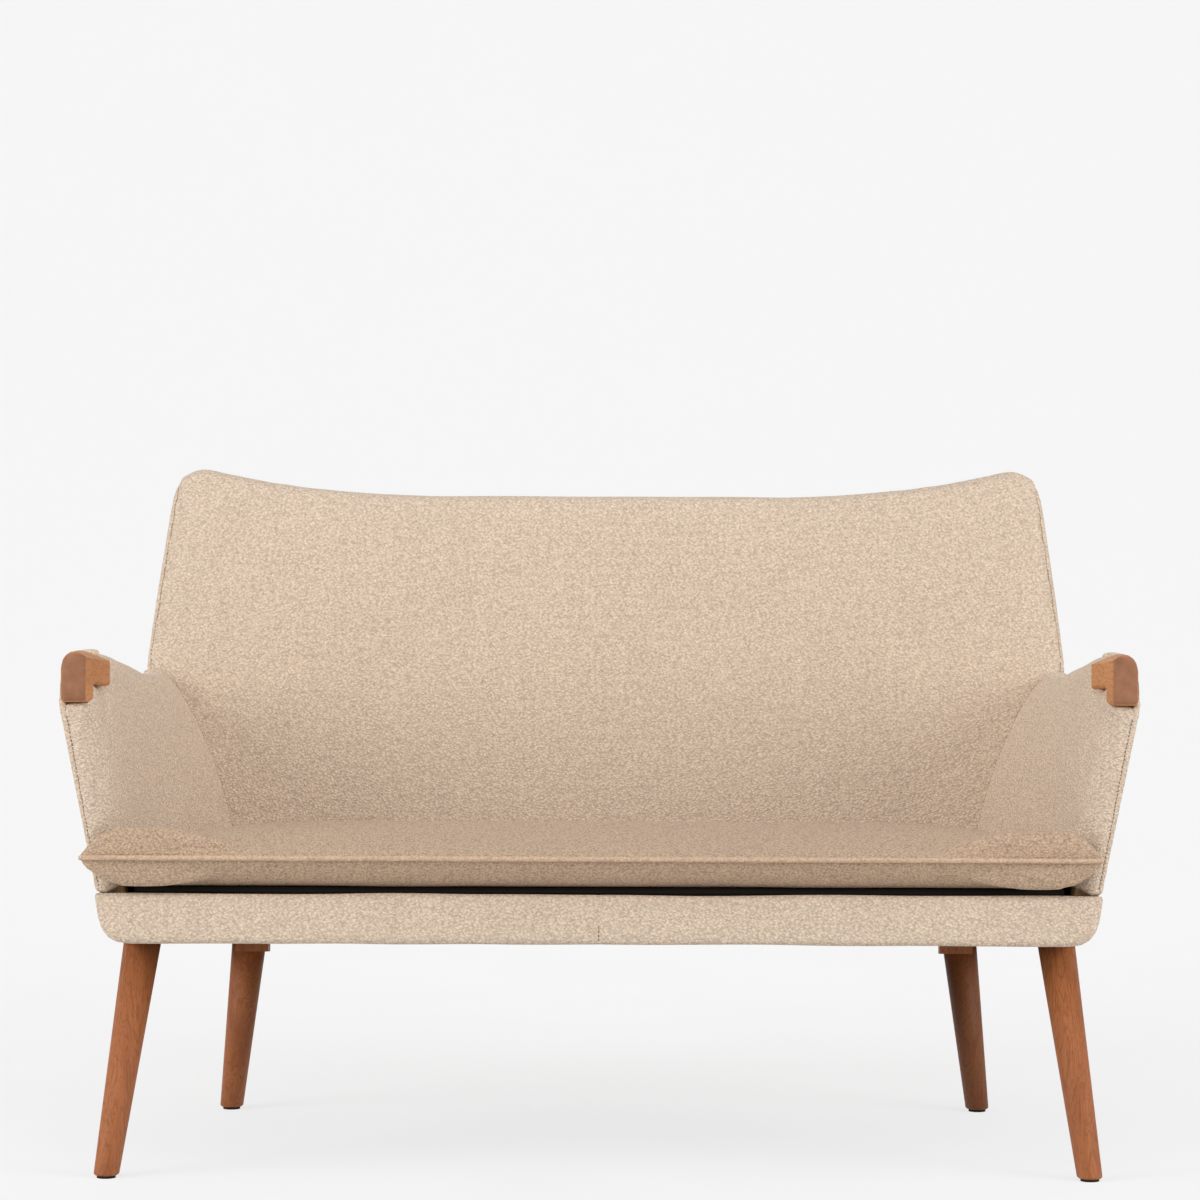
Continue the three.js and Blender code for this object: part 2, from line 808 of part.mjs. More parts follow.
// Distance back to the back's own plane `n`, at a height over the seat frame's underside
function backLine(n, height) {
  return backFootDepth / Math.cos(slope) + n / Math.cos(lean) + height * Math.tan(lean);
}

// Where the face of the back stands at some distance from the middle
function backFaceAt(x, height) {
  const s = height / Math.cos(lean);
  return backLine(bowAt(x / backHalfAt(s)) + lumbarAt(s), height);
}

// Distance from the middle to the outside of the settee at a point of the seat frame
function seatOutsideAt(y, height) {
  const point = seatFrame.localToWorld(vector(0, y, height));
  const along = clamp((point.y - armFront) / armReach(point.z), 0, 1);
  return outsideAt(along, point.z);
}

// The same to the inner side of the arm's padding
function seatHalfAt(y, height) {
  const point = seatFrame.localToWorld(vector(0, y, height));
  const along = clamp((point.y - armFront) / armReach(point.z), 0, 1);
  return outsideAt(along, point.z) - armCrownOffset - armHalfAt(along);
}

// Flat board between two heights, with its outline in plan
function board(outline, low, high) {
  return loft([low, high].map((height) => outline.map((point) => vector(point.x, point.y, height))));
}

const plan = (x, y) => new THREE.Vector2(x, y);
const mirrored = (half) => [...half, ...half.toReversed().map((point) => plan(-point.x, point.y))];

// LEGS

const frontLegTop = plan(seatOutsideAt(frontLegSetback, railFoot) - frontLegInset, frontLegSetback);
const frontLegFoot = plan(frontLegTop.x + frontLegSplay, frontLegSetback - frontLegReach);
const rearLegTop = plan(seatOutsideAt(rearLegSetback, railFoot) - rearLegInset, rearLegSetback);
const rearLegFoot = plan(rearLegTop.x + rearLegSplay, rearLegSetback + rearLegReach);

const legSides = 24;
const glideSides = 16;
const tenonRoot = 0.5; // share of the front tenon that runs down inside the leg

function circle(centre, diameter, heightAt) {
  return Array.from({ length: legSides }, (_, side) => {
    const turn = 2 * Math.PI * side / legSides;
    const x = centre.x + Math.cos(turn) * diameter / 2;
    const y = centre.y + Math.sin(turn) * diameter / 2;
    return vector(x, y, heightAt(y));
  });
}

// Cone that a leg's body fills, grown all round by `gap`
function legBody(line, gap) {
  const ends = [legFootDiameter, legTopDiameter].map((diameter, end) => {
    const heightAt = end ? (y) => seatPlane(y, line.shoulder + gap) : () => line.at(end).z;
    return circle(line.at(end), diameter + 2 * gap, heightAt);
  });
  return solidOf(loft(ends));
}

// A leg's centre line, from its foot to the plane of the seat frame that it meets
function legLine(sign, top, foot, shoulder) {
  const low = vector(sign * foot.x, foot.y, glideHeight + seamGap);
  const high = vector(sign * top.x, top.y, seatPlane(top.y, shoulder));
  return { at: (share) => low.clone().lerp(high, share), length: high.z - low.z, shoulder };
}

function legTenon(line, length, gap) {
  const last = (line.length + length + gap) / line.length;
  const shares = [1 - tenonRoot * frontTenon / line.length, last];
  const rings = shares.map((share, end) => {
    const centre = line.at(share);
    const height = end ? line.shoulder + length + gap : line.shoulder - tenonRoot * frontTenon;
    return circle(centre, tenonDiameter + 2 * gap, (y) => seatPlane(y, height));
  });
  return solidOf(loft(rings));
}

function legSolid(line, tenon) {
  const round = legFootRound / line.length;
  const diameterAt = (share) => lerp(legFootDiameter, legTopDiameter, share);
  const flat = (share) => circle(line.at(share), diameterAt(share), () => line.at(share).z);
  const rings = [
    circle(line.at(0), legFootDiameter - 2 * legFootRound, () => line.at(0).z),
    flat(round),
    circle(line.at(1), legTopDiameter, (y) => seatPlane(y, line.shoulder)),
  ];
  return solidOf(loft(rings)).add(legTenon(line, tenon, 0));
}

// Room for the head of a leg in the dust cloth
function legTenonRoom(line) {
  const heights = [line.shoulder - 2 * tenonRoot * frontTenon, line.shoulder + frontTenon];
  const rings = heights.map((height) => {
    return circle(line.at(1), legTopDiameter + 2 * dustRoom, (y) => seatPlane(y, height));
  });
  return solidOf(loft(rings));
}

const frontShoulder = railFoot;
const rearShoulder = railFoot - seamGap;
const frontBlockFoot = railFoot + seamGap;

// PIECES OF THE SEAT FRAME

const frontRailHole = solidOf(frontRail(seamGap), seatFrame);
const rearSeatRail = solidOf(wholeRearRail, backFrame).intersect(belowHeight(railTop));
const wholeFrontBlock = block(
  vector(frontLegTop.x - frontBlockInset, frontRailFar + seamGap, frontBlockFoot),
  vector(
    frontLegTop.x - frontBlockInset + frontBlockWidth,
    frontRailFar + seamGap + frontBlockDepth,
    frontBlockTop,
  ),
);
const wholeBearer = block(
  vector(-bearerWidth / 2, frontRailFar + seamGap, bearerFoot),
  vector(bearerWidth / 2, backLine(backFrameNear, bearerFoot) - seamGap, bearerTop),
);

// Hardwood block in a rear corner, with a lip that hangs down in front of the leg
function rearBlock(sign, line, gap) {
  const headInner = rearLegTop.x - rearBlockInset;
  const headTop = railFoot + rearBlockHeight;
  const lipInner = rearLegTop.x - rearLipInset;
  const head = block(
    vector(headInner - gap, rearBlockFront - gap, railFoot - gap),
    vector(headInner + rearBlockWidth + gap, backFootDepth + backThickness, headTop + gap),
  );
  const lip = block(
    vector(lipInner - gap, rearBlockFront - gap, -rearLipDrop - gap),
    vector(lipInner + rearLipWidth + gap, rearLegSetback, railFoot + rearBlockHeight / 2),
  );
  const [headSolid, lipSolid] = [head, lip].map((geometry) => {
    return solidOf(mirrorX(geometry.scale(sign, 1, 1), sign), seatFrame);
  });
  return cut(headSolid.add(cut(lipSolid, legBody(line, seamGap))), behindFrame);
}

// A mirrored geometry has its faces turned back outwards
function mirrorX(geometry, sign) {
  if (sign > 0) return geometry;
  const bare = geometry.clone();
  bare.deleteAttribute('normal');
  bare.deleteAttribute('uv');
  const merged = BufferGeometryUtils.mergeVertices(bare);
  const points = Array.from({ length: merged.attributes.position.count }, (_, i) => {
    return new THREE.Vector3().fromBufferAttribute(merged.attributes.position, i);
  });
  const index = Array.from(merged.index.array);
  return closedGeometry(points, index);
}

add('front_seat_rail', frontRail(0), beech, seatFrame);
const rearLegHoles = sides.map(({ sign }) => {
  return legTenon(legLine(sign, rearLegTop, rearLegFoot, rearShoulder), rearTenon, tenonClearance);
});
add('rear_seat_rail', geometryOf(cut(rearSeatRail, ...rearLegHoles), backFrame), beech, backFrame);
add('centre_bearer', wholeBearer, beech, seatFrame);
add('back_top_rail', topRail, beech, backFrame);
add('back_middle_rail', middleRail, beech, backFrame);

// PIECES THAT COME IN PAIRS

const backPosts = sides.map(({ sign }) => solidOf(backPost(sign, seamGap), backFrame));
const behindFrame = solidOf(backSlab({
  near: backFrameNear - seamGap,
  far: backThickness + overrun,
  foot: belowBack,
  top: aboveBack,
  half: (s) => backHalfAt(s) + overrun,
}), backFrame);
const beforeFrame = solidOf(block(
  vector(-overallWidth, -overallWidth, -overrun),
  vector(overallWidth, frontRailFar + seamGap, railTop + overrun),
), seatFrame);
const armRailTop = (along) => armFrameTopAt(along) - framePadding;
const armRailFoot = (along) => armRailTop(along) - armRailHeight;
const postFoot = (along) => armPlane(along, railTop + seamGap);
const postTop = () => gripTabFoot + gripTabFall;
const armRailStart = postEnd + alongAt(seamGap);
const armRailEnd = zoneShares[zoneShares.length - 1];
const wrapInner = bandCorner;
const cornerFill = railCornerWidth + postOuterOffset;

// Where the outside cover turns under the side rail
function underZone(sign) {
  const wrap = solidOf(armSlab(sign, {
    outer: -overrun,
    inner: wrapInner,
    foot: belowArm,
    top: (along) => armPlane(along, railFoot - seamGap),
  }));
  const corner = solidOf(armSlab(sign, {
    outer: -overrun,
    inner: cornerFill,
    foot: belowArm,
    top: (along) => armPlane(along, railFoot + railCornerHeight),
  }));
  return wrap.add(corner);
}

const belowSeat = belowHeight(padFoot);

// Strip of the outside cover between a grip and the outside of the arm
function gripStrip(sign, gap) {
  const geometry = block(
    vector(gripOuter - gap, -overrun, gripTabFoot - overrun),
    vector(overallWidth, gripTail + gap, gripTop + overrun),
  );
  return solidOf(mirrorX(geometry.scale(sign, 1, 1), sign));
}

const dustHoles = [];
const coverHoles = [];
const armPosts = [];

sides.forEach(({ name, sign }, side) => {
  const grip = solidOf(gripGeometry(sign, 0));
  const gripHole = solidOf(gripGeometry(sign, seamGap));
  const dowel = dowelGeometry(sign, 0);
  const dowelHole = solidOf(dowelGeometry(sign, seamGap));
  const band = bandSolid(seamGap);
  const post = armMember(sign, postStart, postEnd, postFoot, postTop);
  const postHole = armMember(sign, postStart, postEnd, postFoot, postTop, framePadding);
  const rail = armMember(sign, armRailStart, armRailEnd, armRailFoot, armRailTop);
  const railHole = armMember(sign, armRailStart, armRailEnd, armRailFoot, armRailTop, seamGap);
  const seatRailHole = sideRail(sign, seamGap);

  add(`grip_${name}`, geometryOf(cut(grip, dowelHole)), wood);
  add(`grip_dowel_${name}`, dowel, beech);
  add(`arm_post_${name}`, geometryOf(cut(post, gripHole, dowelHole, band)), beech);
  add(`arm_rail_${name}`, geometryOf(cut(rail, backPosts[side], behindFrame)), beech);
  add(`back_post_${name}`, backPost(sign, 0), beech, backFrame);

  const frontLine = legLine(sign, frontLegTop, frontLegFoot, frontShoulder);
  const rearLine = legLine(sign, rearLegTop, rearLegFoot, rearShoulder);
  const frontHole = legTenon(frontLine, frontTenon, tenonClearance);
  const sideRailSolid = cut(sideRail(sign, 0), beforeFrame, backPosts[side], behindFrame, frontHole);
  const frontBlock = solidOf(mirrorX(wholeFrontBlock.clone().scale(sign, 1, 1), sign), seatFrame);
  dustHoles.push(rearBlock(sign, rearLine, seamGap), legTenonRoom(frontLine), legTenonRoom(rearLine));
  add(`side_seat_rail_${name}`, geometryOf(sideRailSolid, seatFrame), beech, seatFrame);
  const frontBlockSolid = cut(frontBlock, sideRail(sign, seamGap, frontBlockWidth), frontHole);
  const rearBlockSolid = cut(rearBlock(sign, rearLine, 0), rearLegHoles[side]);
  add(`front_leg_block_${name}`, geometryOf(frontBlockSolid, seatFrame), beech, seatFrame);
  add(`rear_leg_block_${name}`, geometryOf(rearBlockSolid, seatFrame), wood, seatFrame);
  add(`front_leg_${name}`, geometryOf(legSolid(frontLine, frontTenon)), wood);
  add(`rear_leg_${name}`, geometryOf(legSolid(rearLine, rearTenon)), wood);
  [['front', frontLegFoot], ['rear', rearLegFoot]].forEach(([end, foot]) => {
    const glide = new THREE.CylinderGeometry(glideDiameter / 2, glideDiameter / 2, glideHeight, glideSides);
    const node = add(`glide_${end}_${name}`, glide.rotateX(Math.PI / 2), felt);
    node.position.set(sign * foot.x, foot.y, glideHeight / 2);
  });

  const whole = armEnvelope(sign, 0);
  const inner = armEnvelope(sign, coverThickness);
  const filling = armEnvelope(sign, coverThickness + seamGap);
  const outsideZone = armOutsideZone(sign, 0).add(underZone(sign)).add(gripStrip(sign, seamGap));
  const outsideRoom = armOutsideZone(sign, seamGap).add(gripStrip(sign, 2 * seamGap));
  const armCut = [outsideRoom, grownBack, belowSeat, band, gripHole];
  const insideCover = cut(whole, inner, ...armCut, railHole);
  const padding = cut(filling, armFrameZone(sign), postHole, ...armCut);
  const outsideArm = whole.intersect(outsideZone);
  const outsideBack = wholeBack.intersect(backStrip(sign));
  const legRoom = legTenonRoom(frontLine);
  const frameHoles = [seatRailHole, frontRailHole, postHole, railHole, backPosts[side]];
  const outsideCuts = [band, gripHole, legRoom, ...frameHoles];
  const outsideCover = cut(outsideArm.add(outsideBack), ...outsideCuts);
  coverHoles.push(railHole);
  armPosts.push(postHole);
  add(`inside_arm_cover_${name}`, geometryOf(insideCover), wool);
  add(`arm_padding_${name}`, geometryOf(padding), wadding);
  add(`outside_arm_cover_${name}`, geometryOf(outsideCover), wool);

  const half = block(
    vector(seamGap / 2, -overrun, -overrun),
    vector(overallWidth, bandWrap + overrun, bandHeight + overrun),
  );
  const halfRoom = solidOf(mirrorX(half.scale(sign, 1, 1), sign), seatFrame);
  const bandHalf = bandSolid(0).intersect(halfRoom).subtract(frontRailHole);
  add(`front_band_${name}`, geometryOf(bandHalf, seatFrame), wool, seatFrame);
});

// THE BACK'S UPHOLSTERY

const backInner = backEnvelope(coverThickness);
const backFilling = backEnvelope(coverThickness + seamGap);
const insideBack = cut(wholeBack.intersect(backCore), backInner, belowSeat, ...coverHoles);
const backPadding = cut(backFilling.intersect(backCore), backFrameZone, belowSeat, ...coverHoles);
const outsideBackCover = cut(wholeBack.intersect(rearZone), ...dustHoles);
add('inside_back_cover', geometryOf(insideBack, backFrame), wool, backFrame);
add('inside_back_padding', geometryOf(backPadding, backFrame), wadding, backFrame);
add('outside_back_cover', geometryOf(outsideBackCover, backFrame), wool, backFrame);

const hessianLap = backPostWidth / 2;
const wholeHessian = solidOf(backSlab({
  near: hessianNear,
  far: hessianNear + hessianThickness,
  foot: (n) => footLine(n, padFoot),
  top: () => topRailFoot + hessianLap,
  half: (s) => betweenPosts(s) + hessianLap,
  stations: railShares,
}), backFrame);
add('back_hessian', geometryOf(cut(wholeHessian, ...coverHoles), backFrame), jute, backFrame);

// WEBBING, DECK AND DUST CLOTH

const webbingFront = bandWrap + seamGap;
const webbingRear = backLine(backFrameNear + backFrameThickness / 2, railTop);
const seatDepths = [0.1, 0.25, 0.4, 0.55, 0.7, 0.85].map((share) => share * backFootDepth);

function webbingPlan() {
  const halfAt = (y) => seatOutsideAt(y, railTop) - postOuterOffset - sideRailThickness + webbingLap;
  return mirrored([webbingFront, webbingRear].map((y) => plan(halfAt(y), y)));
}

const webbingFoot = railTop + seamGap;
const webbingHigh = webbingFoot + webbingThickness;

// Openings between the woven straps
function webbingHoles() {
  const holes = [];
  const hole = webbingPitch - webbingStrap;
  const half = seatOutsideAt(webbingRear, railTop) - postOuterOffset - sideRailThickness;
  const columns = Math.floor((half - hole / 2) / webbingPitch);
  for (let column = -columns; column <= columns; column++) {
    const lastStrap = webbingRear - webbingStrap / 2;
    for (let y = frontRailFar + webbingStrap / 2; y + hole < lastStrap; y += webbingPitch) {
      const low = vector(column * webbingPitch - hole / 2, y, webbingFoot - overrun);
      const high = vector(column * webbingPitch + hole / 2, y + hole, webbingHigh + overrun);
      holes.push(solidOf(block(low, high), seatFrame));
    }
  }
  return holes;
}

const webbingBoard = solidOf(board(webbingPlan(), webbingFoot, webbingHigh), seatFrame);
const webbing = cut(webbingBoard, ...webbingHoles(), ...backPosts, ...armPosts, rearRoom);
add('seat_webbing', geometryOf(webbing, seatFrame), jute, seatFrame);

// Plan of what lies between the arms and the back, clear of them by `clearance`
function wellPlan(height, clearance, front, backRows) {
  const sideRows = [front, ...seatDepths.filter((y) => y > front)];
  const half = sideRows.map((y) => plan(seatHalfAt(y, height) - clearance, y));
  const rearHalf = seatHalfAt(backFaceAt(backWidthAtFoot / 2, height), height) - clearance;
  const rear = backRows.map((share) => {
    return plan(share * rearHalf, backFaceAt(share * rearHalf, height) - clearance);
  });
  return mirrored([...half, ...rear]);
}

const rearShares = [1, 0.85, 0.7, 0.5, 0.25];
const deckPlan = wellPlan(deckTop, -overrun, webbingFront, rearShares);
const wholeDeck = solidOf(board(deckPlan, padFoot, deckTop), seatFrame);
const armRooms = sides.map(({ sign }) => armEnvelope(sign, -seamGap));
add('seat_deck', geometryOf(cut(wholeDeck, ...armRooms, grownBack), seatFrame), wadding, seatFrame);

const dustTop = railFoot - seamGap;
const dustRows = [bandWrap + dustRoom, backLine(backFrameNear + backFrameThickness / 2, dustTop)];
const dustHalfAt = (y) => seatOutsideAt(y, dustTop) - dustCoverMargin;
const dustPlan = mirrored(dustRows.map((y) => plan(dustHalfAt(y), y)));
const dustBoard = solidOf(board(dustPlan, dustTop - dustCoverThickness, dustTop), seatFrame);
add('dust_cover', geometryOf(cut(dustBoard, rearRoom, ...dustHoles), seatFrame), blackCloth, seatFrame);

// THE LOOSE CUSHION: its front corners reach out over the fronts of the arms

const cushionFoot = deckTop + seamGap;
const pipeLevel = cushionFoot + cushionPipeHeight;
const cushionSpineShare = 0.62; // of its half width, where the rings close on a line
const ridgeInset = 6.5; // from the piping to the ridge along an ear
const bodyInset = 10; // from the piping to where the ears have run out
const bodyCornerRound = 5;
const innerRowShares = [0.9, 0.72, 0.4];
const bottomRowShares = [0.95, 0.86, 0.3];
const crownPower = 3.2;
const crownSoftness = 0.75;
const bottomFlatShare = 0.85;
const bottomSoftness = 0.6;
const earFrontShare = 0.6;
const earTurnShare = 0.3;
const sideRowShares = [0, 0.2, 0.45, 0.65, 0.82];
const rearRowShares = [0.7, 0.35];
const pipingSides = 6;
const earTipRound = 14;
const cornerTurnsRear = [0, 45, 90];

// The arms' front edge at a height over the seat frame's underside
function armFaceAt(height) {
  return (armFront - height * Math.sin(slope)) / Math.cos(slope);
}

// Plan of the right half of the cushion at its piping, drawn in by `inset`
function cushionHalf(inset) {
  const half = cushionWidth / 2 - inset;
  const front = cushionFront + inset;
  const earFront = front + cushionBow;
  const earBack = armFaceAt(pipeLevel) - cushionEarClearance - pipingDiameter - inset;
  const earMiddle = (earFront + earBack) / 2;
  const armSide = (y) => seatHalfAt(y, pipeLevel) - cushionClearance - inset;
  const backSide = (x) => backFaceAt(x, pipeLevel) - cushionClearance - inset;
  const reach = cushionRearRound - inset;
  const rearHalf = armSide(backSide(armSide(backSide(half))) - reach);
  const corner = plan(rearHalf - reach, backSide(rearHalf) - reach);
  const rows = sideRowShares.map((share) => lerp(bandWrap, corner.y, share));
  return [
    plan(earFrontShare * half, front + (1 - earFrontShare) * cushionBow),
    plan(half - 2 * earTipRound, earFront),
    plan(half - earTipRound / 2, lerp(earFront, earMiddle, earTurnShare)),
    plan(half, earMiddle),
    plan(half - earTipRound / 2, lerp(earBack, earMiddle, earTurnShare)),
    plan(half - 2 * earTipRound, earBack),
    plan(armSide(bandWrap), earBack),
    plan(armSide(bandWrap), armFaceAt(pipeLevel)),
    ...rows.map((y) => plan(armSide(y), y)),
    ...cornerTurnsRear.map((turn) => {
      return plan(corner.x + reach * Math.cos(turn * radians), corner.y + reach * Math.sin(turn * radians));
    }),
    ...rearRowShares.map((share) => plan(share * corner.x, backSide(share * corner.x))),
  ];
}

// Plan of the whole cushion; its front ears lie a little to the left
function cushionPlan(inset, half = cushionHalf(inset)) {
  const rear = plan(0, backFaceAt(0, pipeLevel) - cushionClearance - inset);
  const others = half.toReversed().map((point) => plan(-point.x, point.y));
  return [plan(0, cushionFront + inset), ...half, rear, ...others].map((point) => {
    const before = (armFaceAt(pipeLevel) - point.y) / (cushionEarClearance + pipingDiameter);
    return plan(point.x + cushionDrift * clamp(before, 0, 1), point.y);
  });
}

// The same plan with the ears run back into rounded corners
function bodyPlan(inset) {
  const half = cushionHalf(inset);
  const corner = plan(
    seatHalfAt(bandWrap, pipeLevel) - cushionClearance - inset,
    cushionFront + cushionBow + inset,
  );
  const earPoints = half.filter((point) => point.x > corner.x);
  const first = half.indexOf(earPoints[0]);
  const turned = [...earPoints, half[first + earPoints.length]];
  turned.forEach((point, step) => {
    const turn = Math.PI / 2 * step / turned.length;
    half[first + step] = plan(
      corner.x - bodyCornerRound * (1 - Math.sin(turn)),
      corner.y + bodyCornerRound * (1 - Math.cos(turn)),
    );
  });
  return cushionPlan(inset, half);
}

// The cushion's filled form: rings of its plan, drawn in towards a line along its middle
function cushionForm() {
  const middle = (backFaceAt(0, pipeLevel) - cushionClearance + cushionFront) / 2;
  const spine = cushionSpineShare * cushionWidth / 2;
  const body = bodyPlan(bodyInset);
  const drop = (share) => {
    const under = clamp((1 - share) / (1 - bottomFlatShare), 0, 1);
    return pipeLevel - cushionPipeHeight * under ** bottomSoftness;
  };
  const rise = (share) => pipeLevel + cushionCrown * (1 - share ** crownPower) ** crownSoftness;
  const lift = (outline, height) => outline.map((point) => vector(point.x, point.y, height));
  const drawn = (share) => body.map((point) => {
    return plan(clamp(point.x, -spine, spine), middle).lerp(point, share);
  });
  const shareAt = (inset) => 1 - inset / (middle - cushionFront);
  const edgeRows = [cushionPlan(ridgeInset), body];
  const edgeShares = [shareAt(ridgeInset), shareAt(bodyInset)];
  const at = (share) => share * shareAt(bodyInset);
  return loft([
    ...bottomRowShares.toReversed().map((share) => lift(drawn(share), drop(at(share)))),
    ...edgeRows.map((outline, row) => lift(outline, drop(edgeShares[row]))).toReversed(),
    lift(cushionPlan(0), pipeLevel),
    ...edgeRows.map((outline, row) => lift(outline, rise(edgeShares[row]))),
    ...innerRowShares.map((share) => lift(drawn(share), rise(at(share)))),
  ]);
}

// The form drawn in from above, from below and beside the arms
function cushionInside(inset) {
  const lowered = solidOf(cushionForm().translate(0, 0, -inset), seatFrame);
  const raised = solidOf(cushionForm().translate(0, 0, inset), seatFrame);
  return cut(lowered.intersect(raised), ...armsGrown(cushionEarClearance + inset));
}

function armsGrown(gap) {
  return sides.map(({ sign }) => armEnvelope(sign, -gap));
}

const pipeOffset = pipingDiameter / 2 + seamGap;
const pipePath = cushionPlan(-pipeOffset).map((point) => vector(point.x, point.y, pipeLevel));
const wholeCushion = cut(solidOf(cushionForm(), seatFrame), ...armsGrown(cushionEarClearance));
const cushionShell = wholeCushion.subtract(cushionInside(cushionCoverThickness));
const upperHalf = solidOf(block(
  vector(-overallWidth, -overallWidth, pipeLevel + seamGap / 2),
  vector(overallWidth, overallWidth, pipeLevel + 2 * cushionCrown),
), seatFrame);
const lowerHalf = solidOf(block(
  vector(-overallWidth, -overallWidth, 0),
  vector(overallWidth, overallWidth, pipeLevel - seamGap / 2),
), seatFrame);
const pipeHole = solidOf(ringTube(pipePath, pipingDiameter + 4 * seamGap, pipingSides), seatFrame);
const topCover = geometryOf(cut(cushionShell.intersect(upperHalf), pipeHole), seatFrame);
const bottomCover = geometryOf(cut(cushionShell.intersect(lowerHalf), pipeHole), seatFrame);
// The filling stops short of the ears
const earRooms = sides.map(({ sign }) => {
  const near = seatHalfAt(bandWrap, pipeLevel) + cushionDrift - fillingSetback;
  const room = block(
    vector(near, -overallWidth, 0),
    vector(overallWidth, armFaceAt(pipeLevel) + fillingSetback, overallWidth),
  );
  return solidOf(mirrorX(room.scale(sign, 1, 1), sign), seatFrame);
});
const filling = cut(cushionInside(cushionCoverThickness + framePadding), ...earRooms);
const cushionFilling = geometryOf(filling, seatFrame);
add('cushion_top_cover', topCover, seatWool, seatFrame);
add('cushion_bottom_cover', bottomCover, seatWool, seatFrame);
add('cushion_core', cushionFilling, wadding, seatFrame);
add('cushion_piping', ringTube(pipePath, pipingDiameter, pipingSides), seatWool, seatFrame);

// The settee stands with the middle of its footprint at the origin
const extent = new THREE.Box3().setFromObject(settee);
const middle = extent.getCenter(vector(0, 0, 0));
settee.children.forEach((child) => child.position.setY(child.position.y - middle.y));

export default settee;
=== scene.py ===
"""High back settee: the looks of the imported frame, laid out as a Blender add-on."""

import json
import math

import bmesh
import bpy
import numpy as np
from bpy.props import FloatProperty, FloatVectorProperty, IntProperty, PointerProperty
from mathutils import Matrix, Vector, noise
from mathutils.bvhtree import BVHTree

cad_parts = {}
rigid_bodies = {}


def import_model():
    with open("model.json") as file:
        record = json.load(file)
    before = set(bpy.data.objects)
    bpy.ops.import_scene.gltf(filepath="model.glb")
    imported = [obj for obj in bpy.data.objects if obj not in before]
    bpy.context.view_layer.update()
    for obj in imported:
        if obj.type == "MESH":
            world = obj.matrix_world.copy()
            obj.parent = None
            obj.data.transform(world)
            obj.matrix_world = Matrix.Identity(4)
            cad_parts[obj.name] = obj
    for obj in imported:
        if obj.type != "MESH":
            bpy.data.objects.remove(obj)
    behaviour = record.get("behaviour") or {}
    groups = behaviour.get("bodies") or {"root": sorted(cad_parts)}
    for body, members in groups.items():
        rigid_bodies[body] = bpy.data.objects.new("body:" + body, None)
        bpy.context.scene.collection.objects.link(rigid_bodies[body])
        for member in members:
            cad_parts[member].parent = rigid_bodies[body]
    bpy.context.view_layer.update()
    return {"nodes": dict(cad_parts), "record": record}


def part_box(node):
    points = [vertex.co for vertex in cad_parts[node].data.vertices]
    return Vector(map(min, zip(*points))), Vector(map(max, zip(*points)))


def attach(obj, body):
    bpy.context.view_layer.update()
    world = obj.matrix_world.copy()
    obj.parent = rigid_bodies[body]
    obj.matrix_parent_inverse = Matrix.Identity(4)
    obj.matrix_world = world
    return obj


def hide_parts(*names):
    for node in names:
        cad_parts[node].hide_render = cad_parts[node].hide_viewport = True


bl_info = {
    "name": "High Back Settee",
    "version": (1, 0, 0),
    "blender": (4, 5, 0),
    "location": "3D View > Sidebar > Settee",
    "description": "Dresses the settee's frame with its covers, cushion, grips and legs",
    "category": "Object",
}

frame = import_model()
SIDES = (("left", -1), ("right", 1))
FRAME_BODY = "frame"
CUSHION_BODY = "seat_cushion"


# SIZES AND COLOURS


def length_prop(name, description, default):
    return FloatProperty(name=name, description=description, default=default, unit="LENGTH")


def plain_prop(name, description, default):
    return FloatProperty(name=name, description=description, default=default)


def rounds_prop(name, description, default):
    return IntProperty(name=name, description=description, default=default, min=0)


def colour_prop(name, description, default):
    return FloatVectorProperty(
        name=name, description=description, default=default, subtype="COLOR", size=3, min=0, max=1)


class SETTEE_PG_stage(bpy.types.PropertyGroup):
    """Camera, floor and lamps"""

    camera_distance: length_prop(
        "Camera distance", "From the middle of the floor under the settee to the camera", 4.929)
    camera_height: length_prop("Camera height", "Height of the lens above the floor", 0.785)
    camera_aside: length_prop("Camera aside", "How far the camera stands to the right of the middle", 0.069)
    camera_roll: FloatProperty(
        name="Camera roll", description="Turn of the camera about its line of sight",
        default=math.radians(-0.2), subtype="ANGLE")
    lens: plain_prop("Lens", "Focal length in millimetres", 114.0)
    shift: FloatVectorProperty(
        name="Shift", description="Sideways and upright shift of the frame", size=2, default=(-0.0478, -0.0583))
    backdrop: colour_prop("Backdrop", "Colour of the backdrop as the camera sees it", (0.98, 0.98, 0.98))
    floor: colour_prop("Floor", "Colour of the floor round the feet", (0.92, 0.92, 0.92))
    floor_paint: colour_prop("Floor paint", "Colour of the floor as the lamps light it", (0.86, 0.86, 0.865))
    glow: plain_prop("Glow", "Share of the floor's look that the lamps don't change", 0.79)
    floor_half_width: length_prop("Floor's half width", "From the middle of the floor to its side", 8.0)
    floor_front: length_prop("Floor's front", "Front edge of the floor", -7.0)
    floor_back: length_prop("Floor's back", "Where the floor starts to curve up", 2.4)
    sweep: length_prop("Sweep", "Radius of the curve from floor to backdrop", 1.5)
    backdrop_height: length_prop("Backdrop height", "Top edge of the backdrop", 7.0)
    daylight: plain_prop("Daylight", "Strength of the even light all round", 0.5)
    aim: length_prop("Aim", "Height of the point that the lamps face", 0.45)
    over_power: plain_prop("Lamp overhead", "Power of the lamp overhead, in watts", 25.0)
    left_power: plain_prop("Lamp at the left", "Power of the left lamp, in watts", 98.0)
    right_power: plain_prop("Lamp at the right", "Power of the right lamp, in watts", 86.0)


